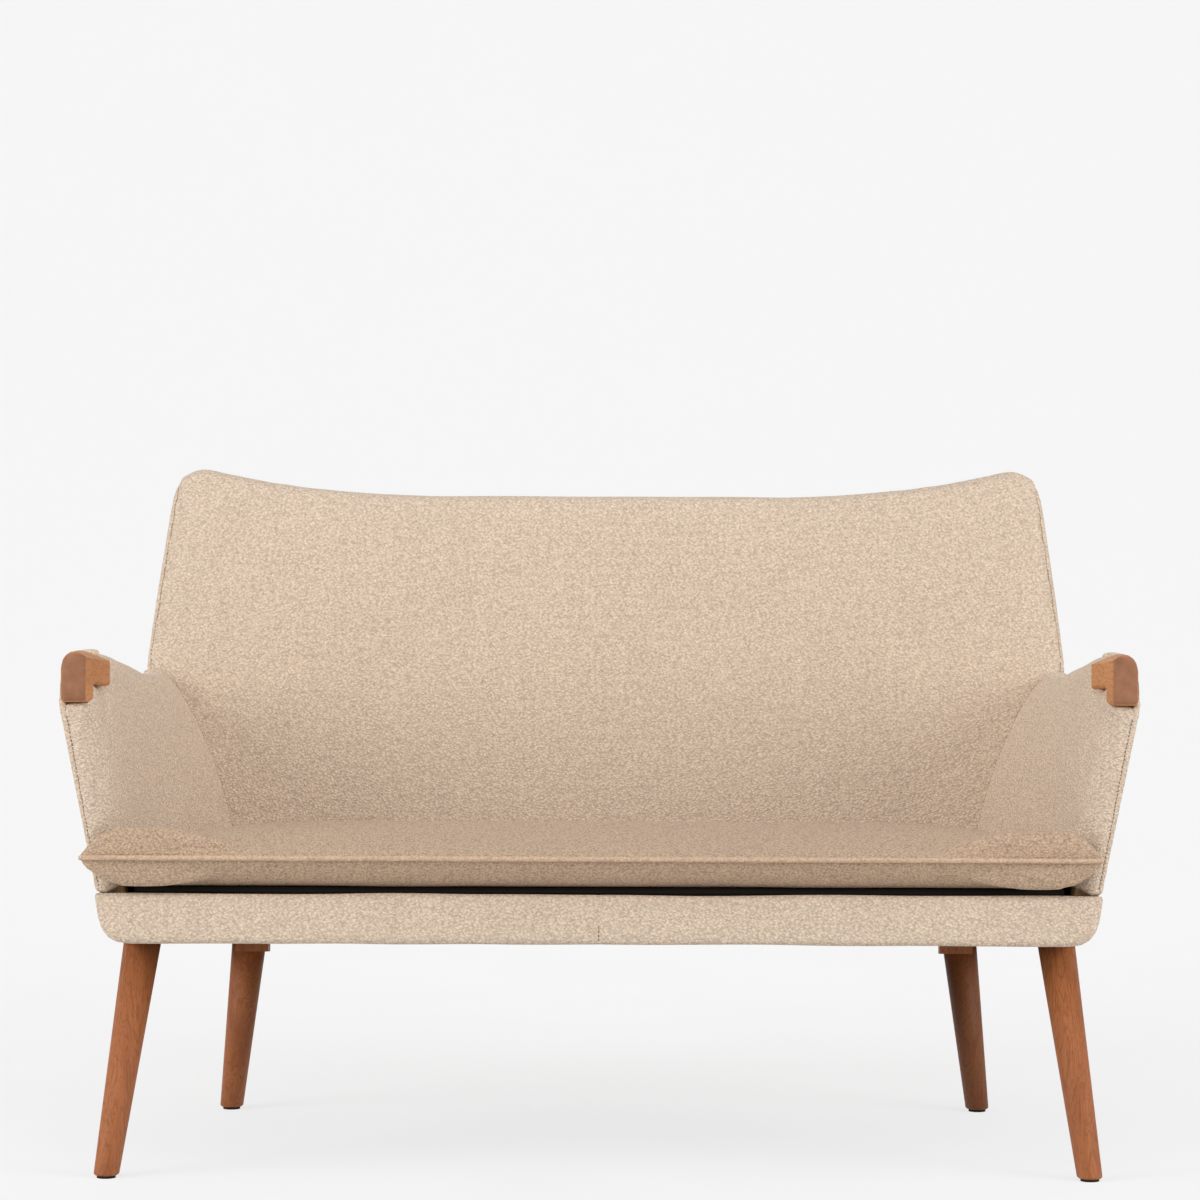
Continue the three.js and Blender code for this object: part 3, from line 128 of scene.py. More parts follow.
class SETTEE_PG_cloth(bpy.types.PropertyGroup):
    """Wool covers"""

    wool: colour_prop("Wool", "Cream wool of the fixed covers", (0.745, 0.605, 0.475))
    seat_wool: colour_prop("Seat wool", "Tan wool of the loose cushion", (0.57, 0.41, 0.288))
    nub: length_prop("Nub", "Width of one nub of the weave", 0.0038)
    seat_nub: length_prop("Seat nub", "Width of one nub of the cushion's weave", 0.0031)
    # the contrast also sets how strongly light and shade are painted on the nubs
    contrast: plain_prop("Contrast", "How far the nubs stand out in tone", 0.66)
    # the same painted light and shade for the cushion's nubs
    seat_contrast: plain_prop("Seat contrast", "The same for the cushion's wool", 0.8)
    relief: length_prop("Relief", "Height of a nub", 0.0013)
    seat_relief: length_prop("Seat relief", "Height of a nub of the cushion's wool", 0.0009)
    piping_relief: length_prop("Piping relief", "Height of a nub on the tight piping", 0.0004)
    back_voxel: length_prop("Back mesh", "Mesh size of the inside back", 0.006)
    arm_voxel: length_prop("Arm mesh", "Mesh size of the arms", 0.0045)
    plate_voxel: length_prop("Outside mesh", "Mesh size of the outside covers", 0.0035)
    band_voxel: length_prop("Band mesh", "Mesh size of the front band", 0.003)
    cushion_voxel: length_prop("Cushion mesh", "Mesh size of the seat cushion", 0.005)
    deck_voxel: length_prop("Deck mesh", "Mesh size of the padded platform", 0.004)
    cover_rounds: rounds_prop("Cover rounds", "Rounds of smoothing for a whole cover", 8)
    plate_rounds: rounds_prop("Outside rounds", "Rounds for the outside arms", 14)
    rear_rounds: rounds_prop("Rear rounds", "Rounds for the outside back", 3)
    band_rounds: rounds_prop("Band rounds", "Rounds for the front band", 4)
    deck_rounds: rounds_prop("Deck rounds", "Rounds for the platform", 2)
    cushion_rounds: rounds_prop("Cushion rounds", "Rounds for the cushion", 6)
    rake: FloatProperty(
        name="Rake", description="How far the face of the back leans from upright",
        default=math.radians(16), subtype="ANGLE")
    back_face_rounds: rounds_prop("Back face rounds", "More rounds for the face of the back", 150)
    arm_face_rounds: rounds_prop("Arm face rounds", "More rounds for the inner face of an arm", 60)
    arm_front_rounds: rounds_prop("Arm front rounds", "Rounds that round an arm away from its edges", 200)
    plate_face_rounds: rounds_prop("Outside face rounds", "More rounds for the outside arms", 60)
    rear_face_rounds: rounds_prop("Rear face rounds", "More rounds for the outside back", 120)
    cushion_top_rounds: rounds_prop("Cushion top rounds", "More rounds for the top of the cushion", 50)
    tuck: length_prop("Tuck", "How far an edge runs in under its neighbour", 0.004)
    tuck_reach: length_prop("Tuck reach", "Width of the edge that is tucked in", 0.012)
    arm_tuck: length_prop("Arm tuck", "How far an arm's edge runs in under its outside", 0.005)
    arm_back_tuck: length_prop("Arm to back tuck", "How far an arm runs in behind the back", 0.014)
    rear_tuck_reach: length_prop("Rear tuck reach", "Width of the outside back's tucked edge", 0.01)
    band_tuck: length_prop("Band tuck", "How far a half of the band runs into the other", 0.003)
    band_tuck_reach: length_prop("Band tuck reach", "Width of the band's tucked edge", 0.008)
    arm_edge: length_prop("Arm edge", "Width of an arm's edge that keeps its shape", 0.011)
    ear_reach: length_prop("Ear reach", "From a cushion corner's tip to its fullest place", 0.068)
    ear_inner_reach: length_prop("Inner ear reach", "From there inwards", 0.13)
    ear_level: length_prop("Ear level", "Height of a corner's middle", 0.389)
    ear_setback: length_prop("Ear setback", "From the piping's front to a corner's middle", 0.0215)
    ear_rise: length_prop("Ear rise", "Top of a corner over its middle", 0.040)
    ear_drop: length_prop("Ear drop", "Bottom of a corner under its middle", 0.036)
    ear_half_depth: length_prop("Ear half depth", "Half depth of a corner in front of the arm", 0.0105)
    ear_inner_depth: length_prop("Inner ear depth", "How much deeper it gets beside the arm", 0.11)
    seam_hold: length_prop("Seam hold", "Width along the piping that doesn't swell", 0.008)
    deck_hold: length_prop("Deck hold", "Distance from the platform within which nothing swells", 0.004)
    pressure: plain_prop("Pressure", "Pressure of the filling against its cover", 4.0)
    cushion_swell: length_prop("Cushion swell", "Most that a point of the cushion swells", 0.009)
    piping_fullness: length_prop("Piping fullness", "How far the cushion's piping stands out over its cord", 0.0009)
    unevenness: length_prop("Unevenness", "Depth of the slight hollows of a stretched cover", 0.0014)
    band_unevenness: length_prop("Band unevenness", "The same for the front band", 0.0021)
    uneven_reach: length_prop("Reach of the unevenness", "Width of one hollow", 0.13)
    crown_places: FloatVectorProperty(
        name="Crown places", description="Places along an arm, from the rear face of its grip to the back",
        size=5, unit="LENGTH", default=(-0.276, -0.262, -0.20, -0.05, 0.06))
    crown_lifts: FloatVectorProperty(
        name="Crown lifts", description="How far the padding lifts or sinks the top of the arm at each place",
        size=5, unit="LENGTH", default=(0.0, 0.021, 0.019, 0.003, -0.010))
    crown_heights: FloatVectorProperty(
        name="Crown heights", description="Heights between which the lift sets in, holds and runs out",
        size=4, unit="LENGTH", default=(0.44, 0.53, 0.60, 0.70))
    thread: length_prop("Thread", "Thickness of the seam thread", 0.0011)
    stitch: length_prop("Stitch", "Length of one stitch", 0.0036)
    stitch_gap: length_prop("Stitch gap", "Gap between two stitches", 0.0012)


class SETTEE_PG_wood(bpy.types.PropertyGroup):
    """Legs, blocks and grips"""

    leg: colour_prop("Leg wood", "Stained wood of the legs and blocks", (0.42, 0.143, 0.05))
    grip: colour_prop("Grip wood", "Wood of the hand grips along their grain", (0.60, 0.265, 0.105))
    grip_end: colour_prop("Grip end grain", "Handled front of the grips", (0.27, 0.120, 0.066))
    top_shares: FloatVectorProperty(
        name="Top shares", description="Shares of a grip's width, from its inner side to its outer side",
        size=8, default=(0.0, 0.3, 0.48, 0.62, 0.76, 0.87, 0.94, 1.0))
    top_drops: FloatVectorProperty(
        name="Top drops", description="How far a grip's top lies under its highest line at each share",
        size=8, unit="LENGTH", default=(0.0155, 0.0085, 0.0030, 0.0002, 0.0012, 0.0050, 0.0105, 0.0215))
    grip_voxel: length_prop("Grip mesh", "Mesh size of the hand grips", 0.0011)
    grip_rounds: rounds_prop("Grip rounds", "Rounds of smoothing for the hand grips, twice over", 2)


class SETTEE_PG_inside(bpy.types.PropertyGroup):
    """Finishes that show only underneath, behind or with the cushion lifted"""

    beech: colour_prop("Beech", "Wood of the inner frame", (0.58, 0.40, 0.22))
    wadding: colour_prop("Wadding", "Padding under the covers", (0.80, 0.75, 0.63))
    jute: colour_prop("Jute", "Webbing and hessian, the crowns of their threads", (0.46, 0.33, 0.17))
    # painted shade: the colour of the hollows between the jute's threads
    jute_hollow: colour_prop("Jute hollow", "Between the threads of the jute", (0.2, 0.13, 0.06))
    dust: colour_prop("Dust cloth", "Black cloth under the seat", (0.035, 0.034, 0.03))
    # painted shade: the colour of the hollows between the black cloth's threads
    dust_hollow: colour_prop("Dust cloth hollow", "Between the threads of the black cloth", (0.008, 0.008, 0.007))
    # dark cloth and painted shade: the platform's colour also darkens the gap under the cushion's front
    platform: colour_prop("Platform", "Dark cloth of the padded platform", (0.05, 0.042, 0.034))
    # painted shade: the colour of the hollows between the platform cloth's threads
    platform_hollow: colour_prop(
        "Platform hollow", "Between the threads of the platform's cloth", (0.02, 0.017, 0.014))
    felt: colour_prop("Felt", "Glides under the feet", (0.045, 0.028, 0.018))
    # painted shade: the thread is dark so that the stitches draw the shadow line of each crease
    seam_shade_thread: colour_prop("Seam thread", "Thread of the sewn seams", (0.30, 0.19, 0.12))
    jute_pitch: length_prop("Jute pitch", "From thread to thread of the jute", 0.0022)
    cloth_pitch: length_prop("Cloth pitch", "From thread to thread of the dark cloths", 0.0012)
    tuft: length_prop("Tuft", "Width of one tuft of the wadding", 0.004)


GROUPS = (("settee_stage", SETTEE_PG_stage), ("settee_cloth", SETTEE_PG_cloth), ("settee_wood", SETTEE_PG_wood),
          ("settee_inside", SETTEE_PG_inside))


# MATERIALS


class Nodes:
    """Short way to lay out the nodes of one material"""

    def __init__(self, name):
        self.material = bpy.data.materials.new(name)
        self.material.use_nodes = True
        self.tree = self.material.node_tree
        self.tree.nodes.clear()
        self.output = self.tree.nodes.new("ShaderNodeOutputMaterial")

    def add(self, kind, values=(), **links):
        node = self.tree.nodes.new("ShaderNode" + kind)
        for key, value in dict(values).items():
            if hasattr(node, key):
                setattr(node, key, value)
            else:
                node.inputs[key.replace("_", " ")].default_value = value
        for key, socket in links.items():
            self.tree.links.new(socket, node.inputs[key.replace("_", " ")])
        return node

    def math(self, operation, a, b=None):
        node = self.tree.nodes.new("ShaderNodeMath")
        node.operation = operation
        for socket, value in zip(node.inputs, (a, b)):
            if isinstance(value, (int, float)):
                socket.default_value = value
            elif value is not None:
                self.tree.links.new(value, socket)
        return node.outputs[0]

    def mix(self, factor, a, b, blend="MIX"):
        node = self.tree.nodes.new("ShaderNodeMix")
        node.data_type = "RGBA"
        node.blend_type = blend
        for name, value in (("Factor_Float", factor), ("A_Color", a), ("B_Color", b)):
            socket = next(s for s in node.inputs if s.identifier == name)
            if isinstance(value, bpy.types.NodeSocket):
                self.tree.links.new(value, socket)
            elif isinstance(value, (int, float)):
                socket.default_value = value
            else:
                socket.default_value = (*value[:3], 1)
        return next(s for s in node.outputs if s.identifier == "Result_Color")

    def ramp(self, factor, stops):
        node = self.tree.nodes.new("ShaderNodeValToRGB")
        self.tree.links.new(factor, node.inputs[0])
        points = node.color_ramp.elements
        while len(points) < len(stops):
            points.new(0.5)
        for point, (place, colour) in zip(points, stops):
            point.position = place
            point.color = (*colour[:3], 1) if hasattr(colour, "__len__") else (colour, colour, colour, 1)
        return node.outputs[0]

    def scaled(self, vector, scale, turn=(0, 0, 0)):
        return self.add("Mapping", {"Scale": scale, "Rotation": turn}, Vector=vector).outputs[0]

    def finish(self, shader):
        self.tree.links.new(shader, self.output.inputs["Surface"])
        return self.material


def tinted(colour, share, tone=(1, 1, 1)):
    """The colour made lighter or darker, and pulled a little towards a tone"""
    return tuple(min(1.0, c * share * t) for c, t in zip(colour, tone))


def wool_cloth(name, colour, nub, contrast, relief):
    """Woven wool: nubs in leaning rows, their crowns painted lighter and the hollows between them painted darker as
    light and shade, flecks and faint upright streaks
    """
    n = Nodes(name)
    place = n.add("TexCoord").outputs["Object"]
    wobble = n.add("TexNoise", {"Scale": 0.3 / nub, "Detail": 2.0}, Vector=place).outputs["Color"]
    bent = n.add("VectorMath", {"operation": "MULTIPLY_ADD"})
    n.tree.links.new(wobble, bent.inputs[0])
    bent.inputs[1].default_value = (nub * 1.2,) * 3
    n.tree.links.new(place, bent.inputs[2])
    leaning = n.scaled(bent.outputs[0], (1.0, 0.8, 1.35), (0, math.radians(24), 0))
    cells = n.add("TexVoronoi", {"Scale": 1 / nub, "Randomness": 0.8}, Vector=leaning)
    fine = n.add("TexNoise", {"Scale": 1.1 / nub, "Detail": 3.0, "Roughness": 0.6}, Vector=place).outputs["Fac"]
    crown = n.ramp(cells.outputs["Distance"], ((0.12, 1.0), (0.72, 0.0)))
    pick = n.add("SeparateColor", Color=cells.outputs["Color"]).outputs[0]
    # painted shade and highlight: the hollows of the nubs take the darker tone, their crowns the lighter one
    dark = tinted(colour, 1 - 0.62 * contrast, (1.0, 0.95, 0.9))
    light = tinted(colour, 1 + 0.42 * contrast)
    base = n.mix(crown, dark, light)
    flecks = n.ramp(pick, ((0.0, tinted(colour, 1 - 0.55 * contrast, (0.98, 0.95, 0.98))), (0.3, colour),
                           (0.65, colour), (1.0, tinted(colour, 1 + 0.5 * contrast, (1.0, 1.0, 0.95)))))
    base = n.mix(0.26, base, flecks)
    # painted light and shade: the fine relief is painted lighter where it stands high and darker where it sinks
    base = n.mix(0.3, base, n.ramp(fine, ((0.35, dark), (0.65, light))))
    streak = n.add("TexNoise", {"Scale": 1.0, "Detail": 2.0}, Vector=n.scaled(place, (190, 50, 4))).outputs["Fac"]
    cloud = n.add("TexNoise", {"Scale": 4.0, "Detail": 3.0}, Vector=place).outputs["Fac"]
    tone = n.math("ADD", n.math("MULTIPLY", streak, 0.14), n.math("MULTIPLY", cloud, 0.10))
    tone = n.math("ADD", tone, 0.88)
    base = n.mix(1.0, base, n.add("CombineColor", Red=tone, Green=tone, Blue=tone).outputs[0], "MULTIPLY")
    height = n.math("ADD", n.math("MULTIPLY", crown, 0.8), n.math("MULTIPLY", fine, 0.5))
    bump = n.add("Bump", {"Strength": 0.9, "Distance": relief}, Height=height)
    cloth = n.add("BsdfPrincipled", {"Roughness": 0.93, "Specular IOR Level": 0.15, "Sheen Weight": 0.12,
                                     "Sheen Roughness": 0.5},
                  Base_Color=base, Normal=bump.outputs[0])
    return n.finish(cloth.outputs[0])


def grained_wood(name, colour, axis, end_colour=None, gloss=0.42):
    """Oiled wood with growth rings along an axis, dark pores and worn tones"""
    n = Nodes(name)
    coordinates = n.add("TexCoord")
    place = coordinates.outputs["Object"]
    stretch = {"x": (1, 9, 9), "y": (9, 1, 9), "z": (9, 9, 1)}[axis]
    along = n.scaled(place, stretch)
    sway = n.add("TexNoise", {"Scale": 2.6, "Detail": 3.0, "Roughness": 0.55}, Vector=along)
    rings = n.add("TexNoise", {"Scale": 7.0, "Detail": 1.5, "Distortion": 0.6}, Vector=along).outputs["Fac"]
    bands = n.math("SINE", n.math("MULTIPLY", rings, 62.0))
    bands = n.math("ADD", n.math("MULTIPLY", bands, 0.5), 0.5)
    late = n.ramp(bands, ((0.0, 0.0), (0.72, 0.1), (0.96, 1.0)))
    pores = n.add("TexNoise", {"Scale": 1.0, "Detail": 2.0}, Vector=n.scaled(place, tuple(
        95.0 if s == 1 else 1500.0 for s in stretch))).outputs["Fac"]
    pores = n.ramp(pores, ((0.56, 0.0), (0.68, 1.0)))
    fine = n.add("TexNoise", {"Scale": 1.0, "Detail": 3.0}, Vector=n.scaled(place, tuple(
        18.0 if s == 1 else 420.0 for s in stretch))).outputs["Fac"]
    base = n.ramp(sway.outputs["Fac"], ((0.25, tinted(colour, 0.72, (1.0, 0.92, 0.9))), (0.5, colour),
                                       (0.8, tinted(colour, 1.22, (1.0, 1.04, 1.06)))))
    base = n.mix(n.math("MULTIPLY", late, 0.42), base, tinted(colour, 0.5, (1.0, 0.85, 0.8)))
    base = n.mix(n.math("MULTIPLY", n.ramp(fine, ((0.35, 0.0), (0.7, 1.0))), 0.35), base, tinted(colour, 0.7))
    base = n.mix(n.math("MULTIPLY", pores, 0.55), base, tinted(colour, 0.32, (1.0, 0.8, 0.75)))
    if end_colour:
        facing = n.add("SeparateXYZ", Vector=coordinates.outputs["Normal"]).outputs["Y"]
        front = n.ramp(n.math("MULTIPLY", facing, -1.0), ((0.45, 0.0), (0.8, 1.0)))
        worn = n.add("TexNoise", {"Scale": 60.0, "Detail": 4.0}, Vector=place).outputs["Fac"]
        end = n.ramp(worn, ((0.3, tinted(end_colour, 0.75)), (0.7, tinted(end_colour, 1.25, (1.0, 1.02, 1.05)))))
        base = n.mix(n.math("MULTIPLY", front, 0.85), base, end)
    height = n.math("SUBTRACT", n.math("MULTIPLY", fine, 0.3), n.math("MULTIPLY", pores, 0.8))
    bump = n.add("Bump", {"Strength": 0.5, "Distance": 0.0004}, Height=height)
    rough = n.math("ADD", n.math("MULTIPLY", fine, 0.16), gloss)
    shader = n.add("BsdfPrincipled", {"Specular IOR Level": 0.25}, Base_Color=base, Roughness=rough,
                   Normal=bump.outputs[0])
    return n.finish(shader.outputs[0])


def woven_cloth(name, light, dark, pitch):
    """Plain weave, for the webbing, the hessian and the dark cloths, with painted shade in the hollows between the
    threads
    """
    n = Nodes(name)
    place = n.add("TexCoord").outputs["Object"]
    threads = {"Scale": 0.5 / pitch / math.pi, "Distortion": 1.5, "Detail": 2.0, "Detail Scale": 4.0}
    across, along = (n.add("TexWave", threads | {"bands_direction": way}, Vector=place).outputs["Fac"]
                     for way in "XY")
    weave = n.math("MULTIPLY", across, along)
    fibre = n.add("TexNoise", {"Scale": 2.5 / pitch, "Detail": 3.0}, Vector=place).outputs["Fac"]
    # painted shade: the hollows between the threads take the darker colour
    base = n.mix(n.math("ADD", n.math("MULTIPLY", weave, 0.6), n.math("MULTIPLY", fibre, 0.4)), dark, light)
    bump = n.add("Bump", {"Strength": 0.6, "Distance": pitch * 0.25}, Height=weave)
    shader = n.add("BsdfPrincipled", {"Roughness": 0.95, "Specular IOR Level": 0.12}, Base_Color=base,
                   Normal=bump.outputs[0])
    return n.finish(shader.outputs[0])


def felted(name, colour, grain):
    """Matted fibres, for the wadding, the glides and the seam thread"""
    n = Nodes(name)
    place = n.add("TexCoord").outputs["Object"]
    tuft = n.add("TexNoise", {"Scale": 1 / grain, "Detail": 5.0, "Roughness": 0.65}, Vector=place).outputs["Fac"]
    base = n.ramp(tuft, ((0.3, tinted(colour, 0.7)), (0.7, tinted(colour, 1.15))))
    bump = n.add("Bump", {"Strength": 0.6, "Distance": grain * 0.5}, Height=tuft)
    shader = n.add("BsdfPrincipled", {"Roughness": 0.97, "Specular IOR Level": 0.1}, Base_Color=base,
                   Normal=bump.outputs[0])
    return n.finish(shader.outputs[0])


def material(name):
    """A finish by its name, made when it is first asked for"""
    label = "settee_" + name
    if label in bpy.data.materials:
        return bpy.data.materials[label]
    scene = bpy.context.scene
    cloth, wood, inside = scene.settee_cloth, scene.settee_wood, scene.settee_inside
    wool, seat_wool, leg = tuple(cloth.wool), tuple(cloth.seat_wool), tuple(wood.leg)
    makers = {
        "wool": lambda: wool_cloth(label, wool, cloth.nub, cloth.contrast, cloth.relief),
        "seat_wool": lambda: wool_cloth(label, seat_wool, cloth.seat_nub, cloth.seat_contrast, cloth.seat_relief),
        # painted highlight: the piping is the cushion's wool made 12 % lighter
        "lit_piping_wool": lambda: wool_cloth(label, tinted(seat_wool, 1.12), cloth.seat_nub,
                                          0.75 * cloth.seat_contrast, cloth.piping_relief),
        "leg_wood": lambda: grained_wood(label, leg, "z"),
        # painted shade: the right rear leg's wood is the leg wood at 0.55 of its tone
        "shaded_leg_wood": lambda: grained_wood(label, tinted(leg, 0.55), "z"),
        "grip_wood": lambda: grained_wood(label, tuple(wood.grip), "y", tuple(wood.grip_end)),
        "beech": lambda: grained_wood(label, tuple(inside.beech), "x", gloss=0.6),
        "wadding": lambda: felted(label, tuple(inside.wadding), inside.tuft),
        "jute": lambda: woven_cloth(label, inside.jute, inside.jute_hollow, inside.jute_pitch),
        "black_cloth": lambda: woven_cloth(label, inside.dust, inside.dust_hollow, inside.cloth_pitch),
        # the platform cloth is dark partly as painted shade for the gap under the cushion
        "shaded_platform_cloth": lambda: woven_cloth(label, inside.platform, inside.platform_hollow, inside.cloth_pitch),
        "felt": lambda: felted(label, tuple(inside.felt), 0.3 * inside.tuft),
        # dark seam thread: painted shade along the creases of the seams
        "seam_shade_thread": lambda: felted(label, tuple(inside.seam_shade_thread), 0.0015),
    }
    return makers[name]()


# MAKING PIECES

DOUBLES = 1e-6  # corners closer than this are one
FULL_TUCK = 1.6  # how early the inner part of a tucked edge has its full move
FILLING_STEPS = 20  # frames for which a filling presses



def joined_copy(bm, *nodes):
    """Adds the solids of CAD nodes to a bmesh, each with its doubles merged"""
    for node in nodes:
        part = bmesh.new()
        part.from_mesh(frame["nodes"][node].data)
        bmesh.ops.remove_doubles(part, verts=part.verts, dist=DOUBLES)
        loose = bpy.data.meshes.new("loose")
        part.to_mesh(loose)
        part.free()
        bm.from_mesh(loose)
        bpy.data.meshes.remove(loose)


def piece_from(bm, name, finish, body, smooth=True):
    """Makes an object of a bmesh, with its finish, riding on a body"""
    mesh = bpy.data.meshes.new(name)
    bm.to_mesh(mesh)
    bm.free()
    mesh.materials.append(material(finish))
    if smooth:
        mesh.shade_smooth()
    piece = bpy.data.objects.new(name, mesh)
    bpy.context.scene.collection.objects.link(piece)
    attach(piece, body)
    return piece


def applied(piece):
    """Writes a piece's modifiers into its mesh"""
    depsgraph = bpy.context.evaluated_depsgraph_get()
    made = bpy.data.meshes.new_from_object(piece.evaluated_get(depsgraph), depsgraph=depsgraph)
    old = piece.data
    piece.modifiers.clear()
    piece.data = made
    bpy.data.meshes.remove(old)
    return piece


def remeshed(piece, voxel):
    """Gives a piece an even mesh that closes its hairline joints"""
    modifier = piece.modifiers.new("Even mesh", "REMESH")
    modifier.mode = "VOXEL"
    modifier.voxel_size = voxel
    modifier.use_smooth_shade = True
    return applied(piece)


def smoothed(piece, rounds, chosen=None):
    """Evens out a mesh; `chosen` picks the vertices that move by their place and normal"""
    modifier = piece.modifiers.new("Even out", "SMOOTH")
    modifier.factor = 0.5
    modifier.iterations = rounds
    if chosen is not None:
        group = piece.vertex_groups.new(name="moving")
        group.add([v.index for v in piece.data.vertices if chosen(v.co, v.normal)], 1.0, "REPLACE")
        modifier.vertex_group = "moving"
    applied(piece)
    piece.vertex_groups.clear()
    return piece


def surface(*pieces):
    """Search tree over the surfaces of pieces or CAD nodes"""
    bm = bmesh.new()
    for piece in pieces:
        bm.from_mesh(frame["nodes"][piece].data if isinstance(piece, str) else piece.data)
    tree = BVHTree.FromBMesh(bm)
    bm.free()
    return tree


def tucked(piece, neighbours, move, reach):
    """Moves the edge of a piece that lies against its neighbours, so that it runs in under them"""
    tree = surface(*neighbours)
    move = Vector(move)
    for vertex in piece.data.vertices:
        found = tree.find_nearest(vertex.co, reach)
        if found[0] is not None:
            share = 1 - found[3] / reach
            vertex.co += move * min(1.0, FULL_TUCK * share)
    piece.data.update()
    return piece


def uneven(piece, depth, reach, chosen=None):
    """Gives a stretched cover the slight hollows and swells of hand work"""
    mesh = piece.data
    normals = [tuple(v.normal) for v in mesh.vertices]
    for vertex, normal in zip(mesh.vertices, normals):
        if chosen is None or chosen(vertex.co, Vector(normal)):
            vertex.co += Vector(normal) * depth * noise.noise(vertex.co / reach)
    mesh.update()
    return piece


def crowned(piece):
    """Lifts the top of an arm behind its grip and lets it sink towards the back"""
    sizes = bpy.context.scene.settee_cloth
    for vertex in piece.data.vertices:
        lift = np.interp(vertex.co.y, sizes.crown_places, sizes.crown_lifts)
        vertex.co.z += float(lift * np.interp(vertex.co.z, sizes.crown_heights, (0, 1, 1, 0)))
    piece.data.update()
    return piece


def points_of(mesh):
    """The places of a mesh's vertices, one row each"""
    place = np.empty(len(mesh.vertices) * 3)
    mesh.vertices.foreach_get("co", place)
    return place.reshape(-1, 3)


def swelled(piece, pressure, cap, held):
    """Lets a filling press its cover outwards by cloth simulation, no point further than `cap`"""
    scene = bpy.context.scene
    before = points_of(piece.data)
    modifier = piece.modifiers.new("Filling", "CLOTH")
    settings = modifier.settings
    settings.quality = 4
    settings.mass = 0.3
    settings.tension_stiffness = settings.compression_stiffness = 15
    settings.shear_stiffness = 5
    settings.bending_stiffness = 0.5
    settings.use_pressure = True
    settings.uniform_pressure_force = pressure
    settings.effector_weights.gravity = 0
    group = piece.vertex_groups.new(name="held")
    group.add([v.index for v in piece.data.vertices if held(v.co, v.normal)], 1.0, "REPLACE")
    settings.vertex_group_mass = "held"
    for step in range(1, FILLING_STEPS + 1):
        scene.frame_set(step)
    depsgraph = bpy.context.evaluated_depsgraph_get()
    after = points_of(piece.evaluated_get(depsgraph).to_mesh())
    piece.evaluated_get(depsgraph).to_mesh_clear()
    piece.modifiers.clear()
    piece.vertex_groups.clear()
    scene.frame_set(1)
    move = after - before
    length = np.linalg.norm(move, axis=1)
    keep = np.minimum(1.0, cap / np.maximum(length, 1e-9))
    piece.data.vertices.foreach_set("co", (before + move * keep[:, None]).ravel())
    piece.data.update()
    return piece


def subdivided(piece):
    """Gives a piece one round of subdivision"""
    modifier = piece.modifiers.new("Finer", "SUBSURF")
    modifier.levels = modifier.render_levels = 1
    return applied(piece)


def cover(name, finish, body, nodes, voxel, rounds, chosen=None, extra=0):
    """A piece on an even mesh, standing for its CAD solids: smoothed all over for some rounds, and for some
    extra ones where its vertices are chosen"""
    bm = bmesh.new()
    joined_copy(bm, *nodes)
    piece = piece_from(bm, name, finish, body)
    remeshed(piece, voxel)
    smoothed(piece, rounds)
    if extra:
        smoothed(piece, extra, chosen)
    piece.data.shade_smooth()
    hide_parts(*nodes)
    return piece


def eared(bm, tip, centre, sizes, sign):
    """Adds the full lobe of a cushion's front corner, which runs out to a point at `tip`. Towards the tip its
    height falls off like 1 - x ** 2.5 and its depth like 1 - x ** 8, in place of a ball's round fall"""
    made = bmesh.ops.create_icosphere(bm, subdivisions=4, radius=1.0)["verts"]
    middle = abs(tip) - sizes.ear_reach
    for vertex in made:
        x, y, z = vertex.co
        ring = max(1 - x * x, 1e-6) ** 0.5
        full, thick = ((1 - x ** 2.5) / ring, (1 - x ** 8) / ring) if x > 0 else (1.0, 1.0)
        deep = sizes.ear_half_depth + (sizes.ear_inner_depth * min(1.0, -1.6 * x) if x < 0 < y else 0.0)
        vertex.co = Vector((sign * (middle + (sizes.ear_reach if x > 0 else sizes.ear_inner_reach) * x),
                            centre[0] + deep * y * thick,
                            centre[1] + (sizes.ear_rise if z > 0 else sizes.ear_drop) * z * full))
    if sign < 0:
        bmesh.ops.reverse_faces(bm, faces=list({f for v in made for f in v.link_faces}))


def crease(first, second, rows, way, lift=0.0004, halvings=14, longest_step=0.05, nowhere=99.0):
    """Points of the crease between two pieces: on each row, from a start on the first piece to an end on
    the second, rays along `way` tell which of them is met first; `lift` raises them against `way`"""
    trees = surface(first), surface(second)
    way = Vector(way)
    found = []
    for start, end in rows:
        start, end = Vector(start), Vector(end)

        def nearer(share):
            hits = [tree.ray_cast(start.lerp(end, share), way) for tree in trees]
            far = [hit[3] if hit[0] is not None else nowhere for hit in hits]
            return far[0] - far[1], hits[0 if far[0] < far[1] else 1][0]

        low, high = 0.0, 1.0
        if nearer(low)[0] > 0 or nearer(high)[0] < 0:
            continue
        for _ in range(halvings):
            middle = (low + high) / 2
            if nearer(middle)[0] > 0:
                high = middle
            else:
                low = middle
        point = nearer(low)[1]
        if point is not None and (not found or (point + way * lift - found[-1]).length < longest_step):
            found.append(point - way * lift)
    return found


def evened(points, pitch):
    """Points at even steps along a line, its small jumps smoothed away"""
    line = [points[0]]
    for before, point, after in zip(points, points[1:], points[2:]):
        line.append((before + point * 2 + after) / 4)
    line.append(points[-1])
    steps, carried = [line[0]], 0.0
    for start, end in zip(line, line[1:]):
        length = (end - start).length
        while carried + length >= pitch:
            start = start.lerp(end, (pitch - carried) / length)
            length = (end - start).length
            carried = 0.0
            steps.append(start)
        carried += length
    return steps


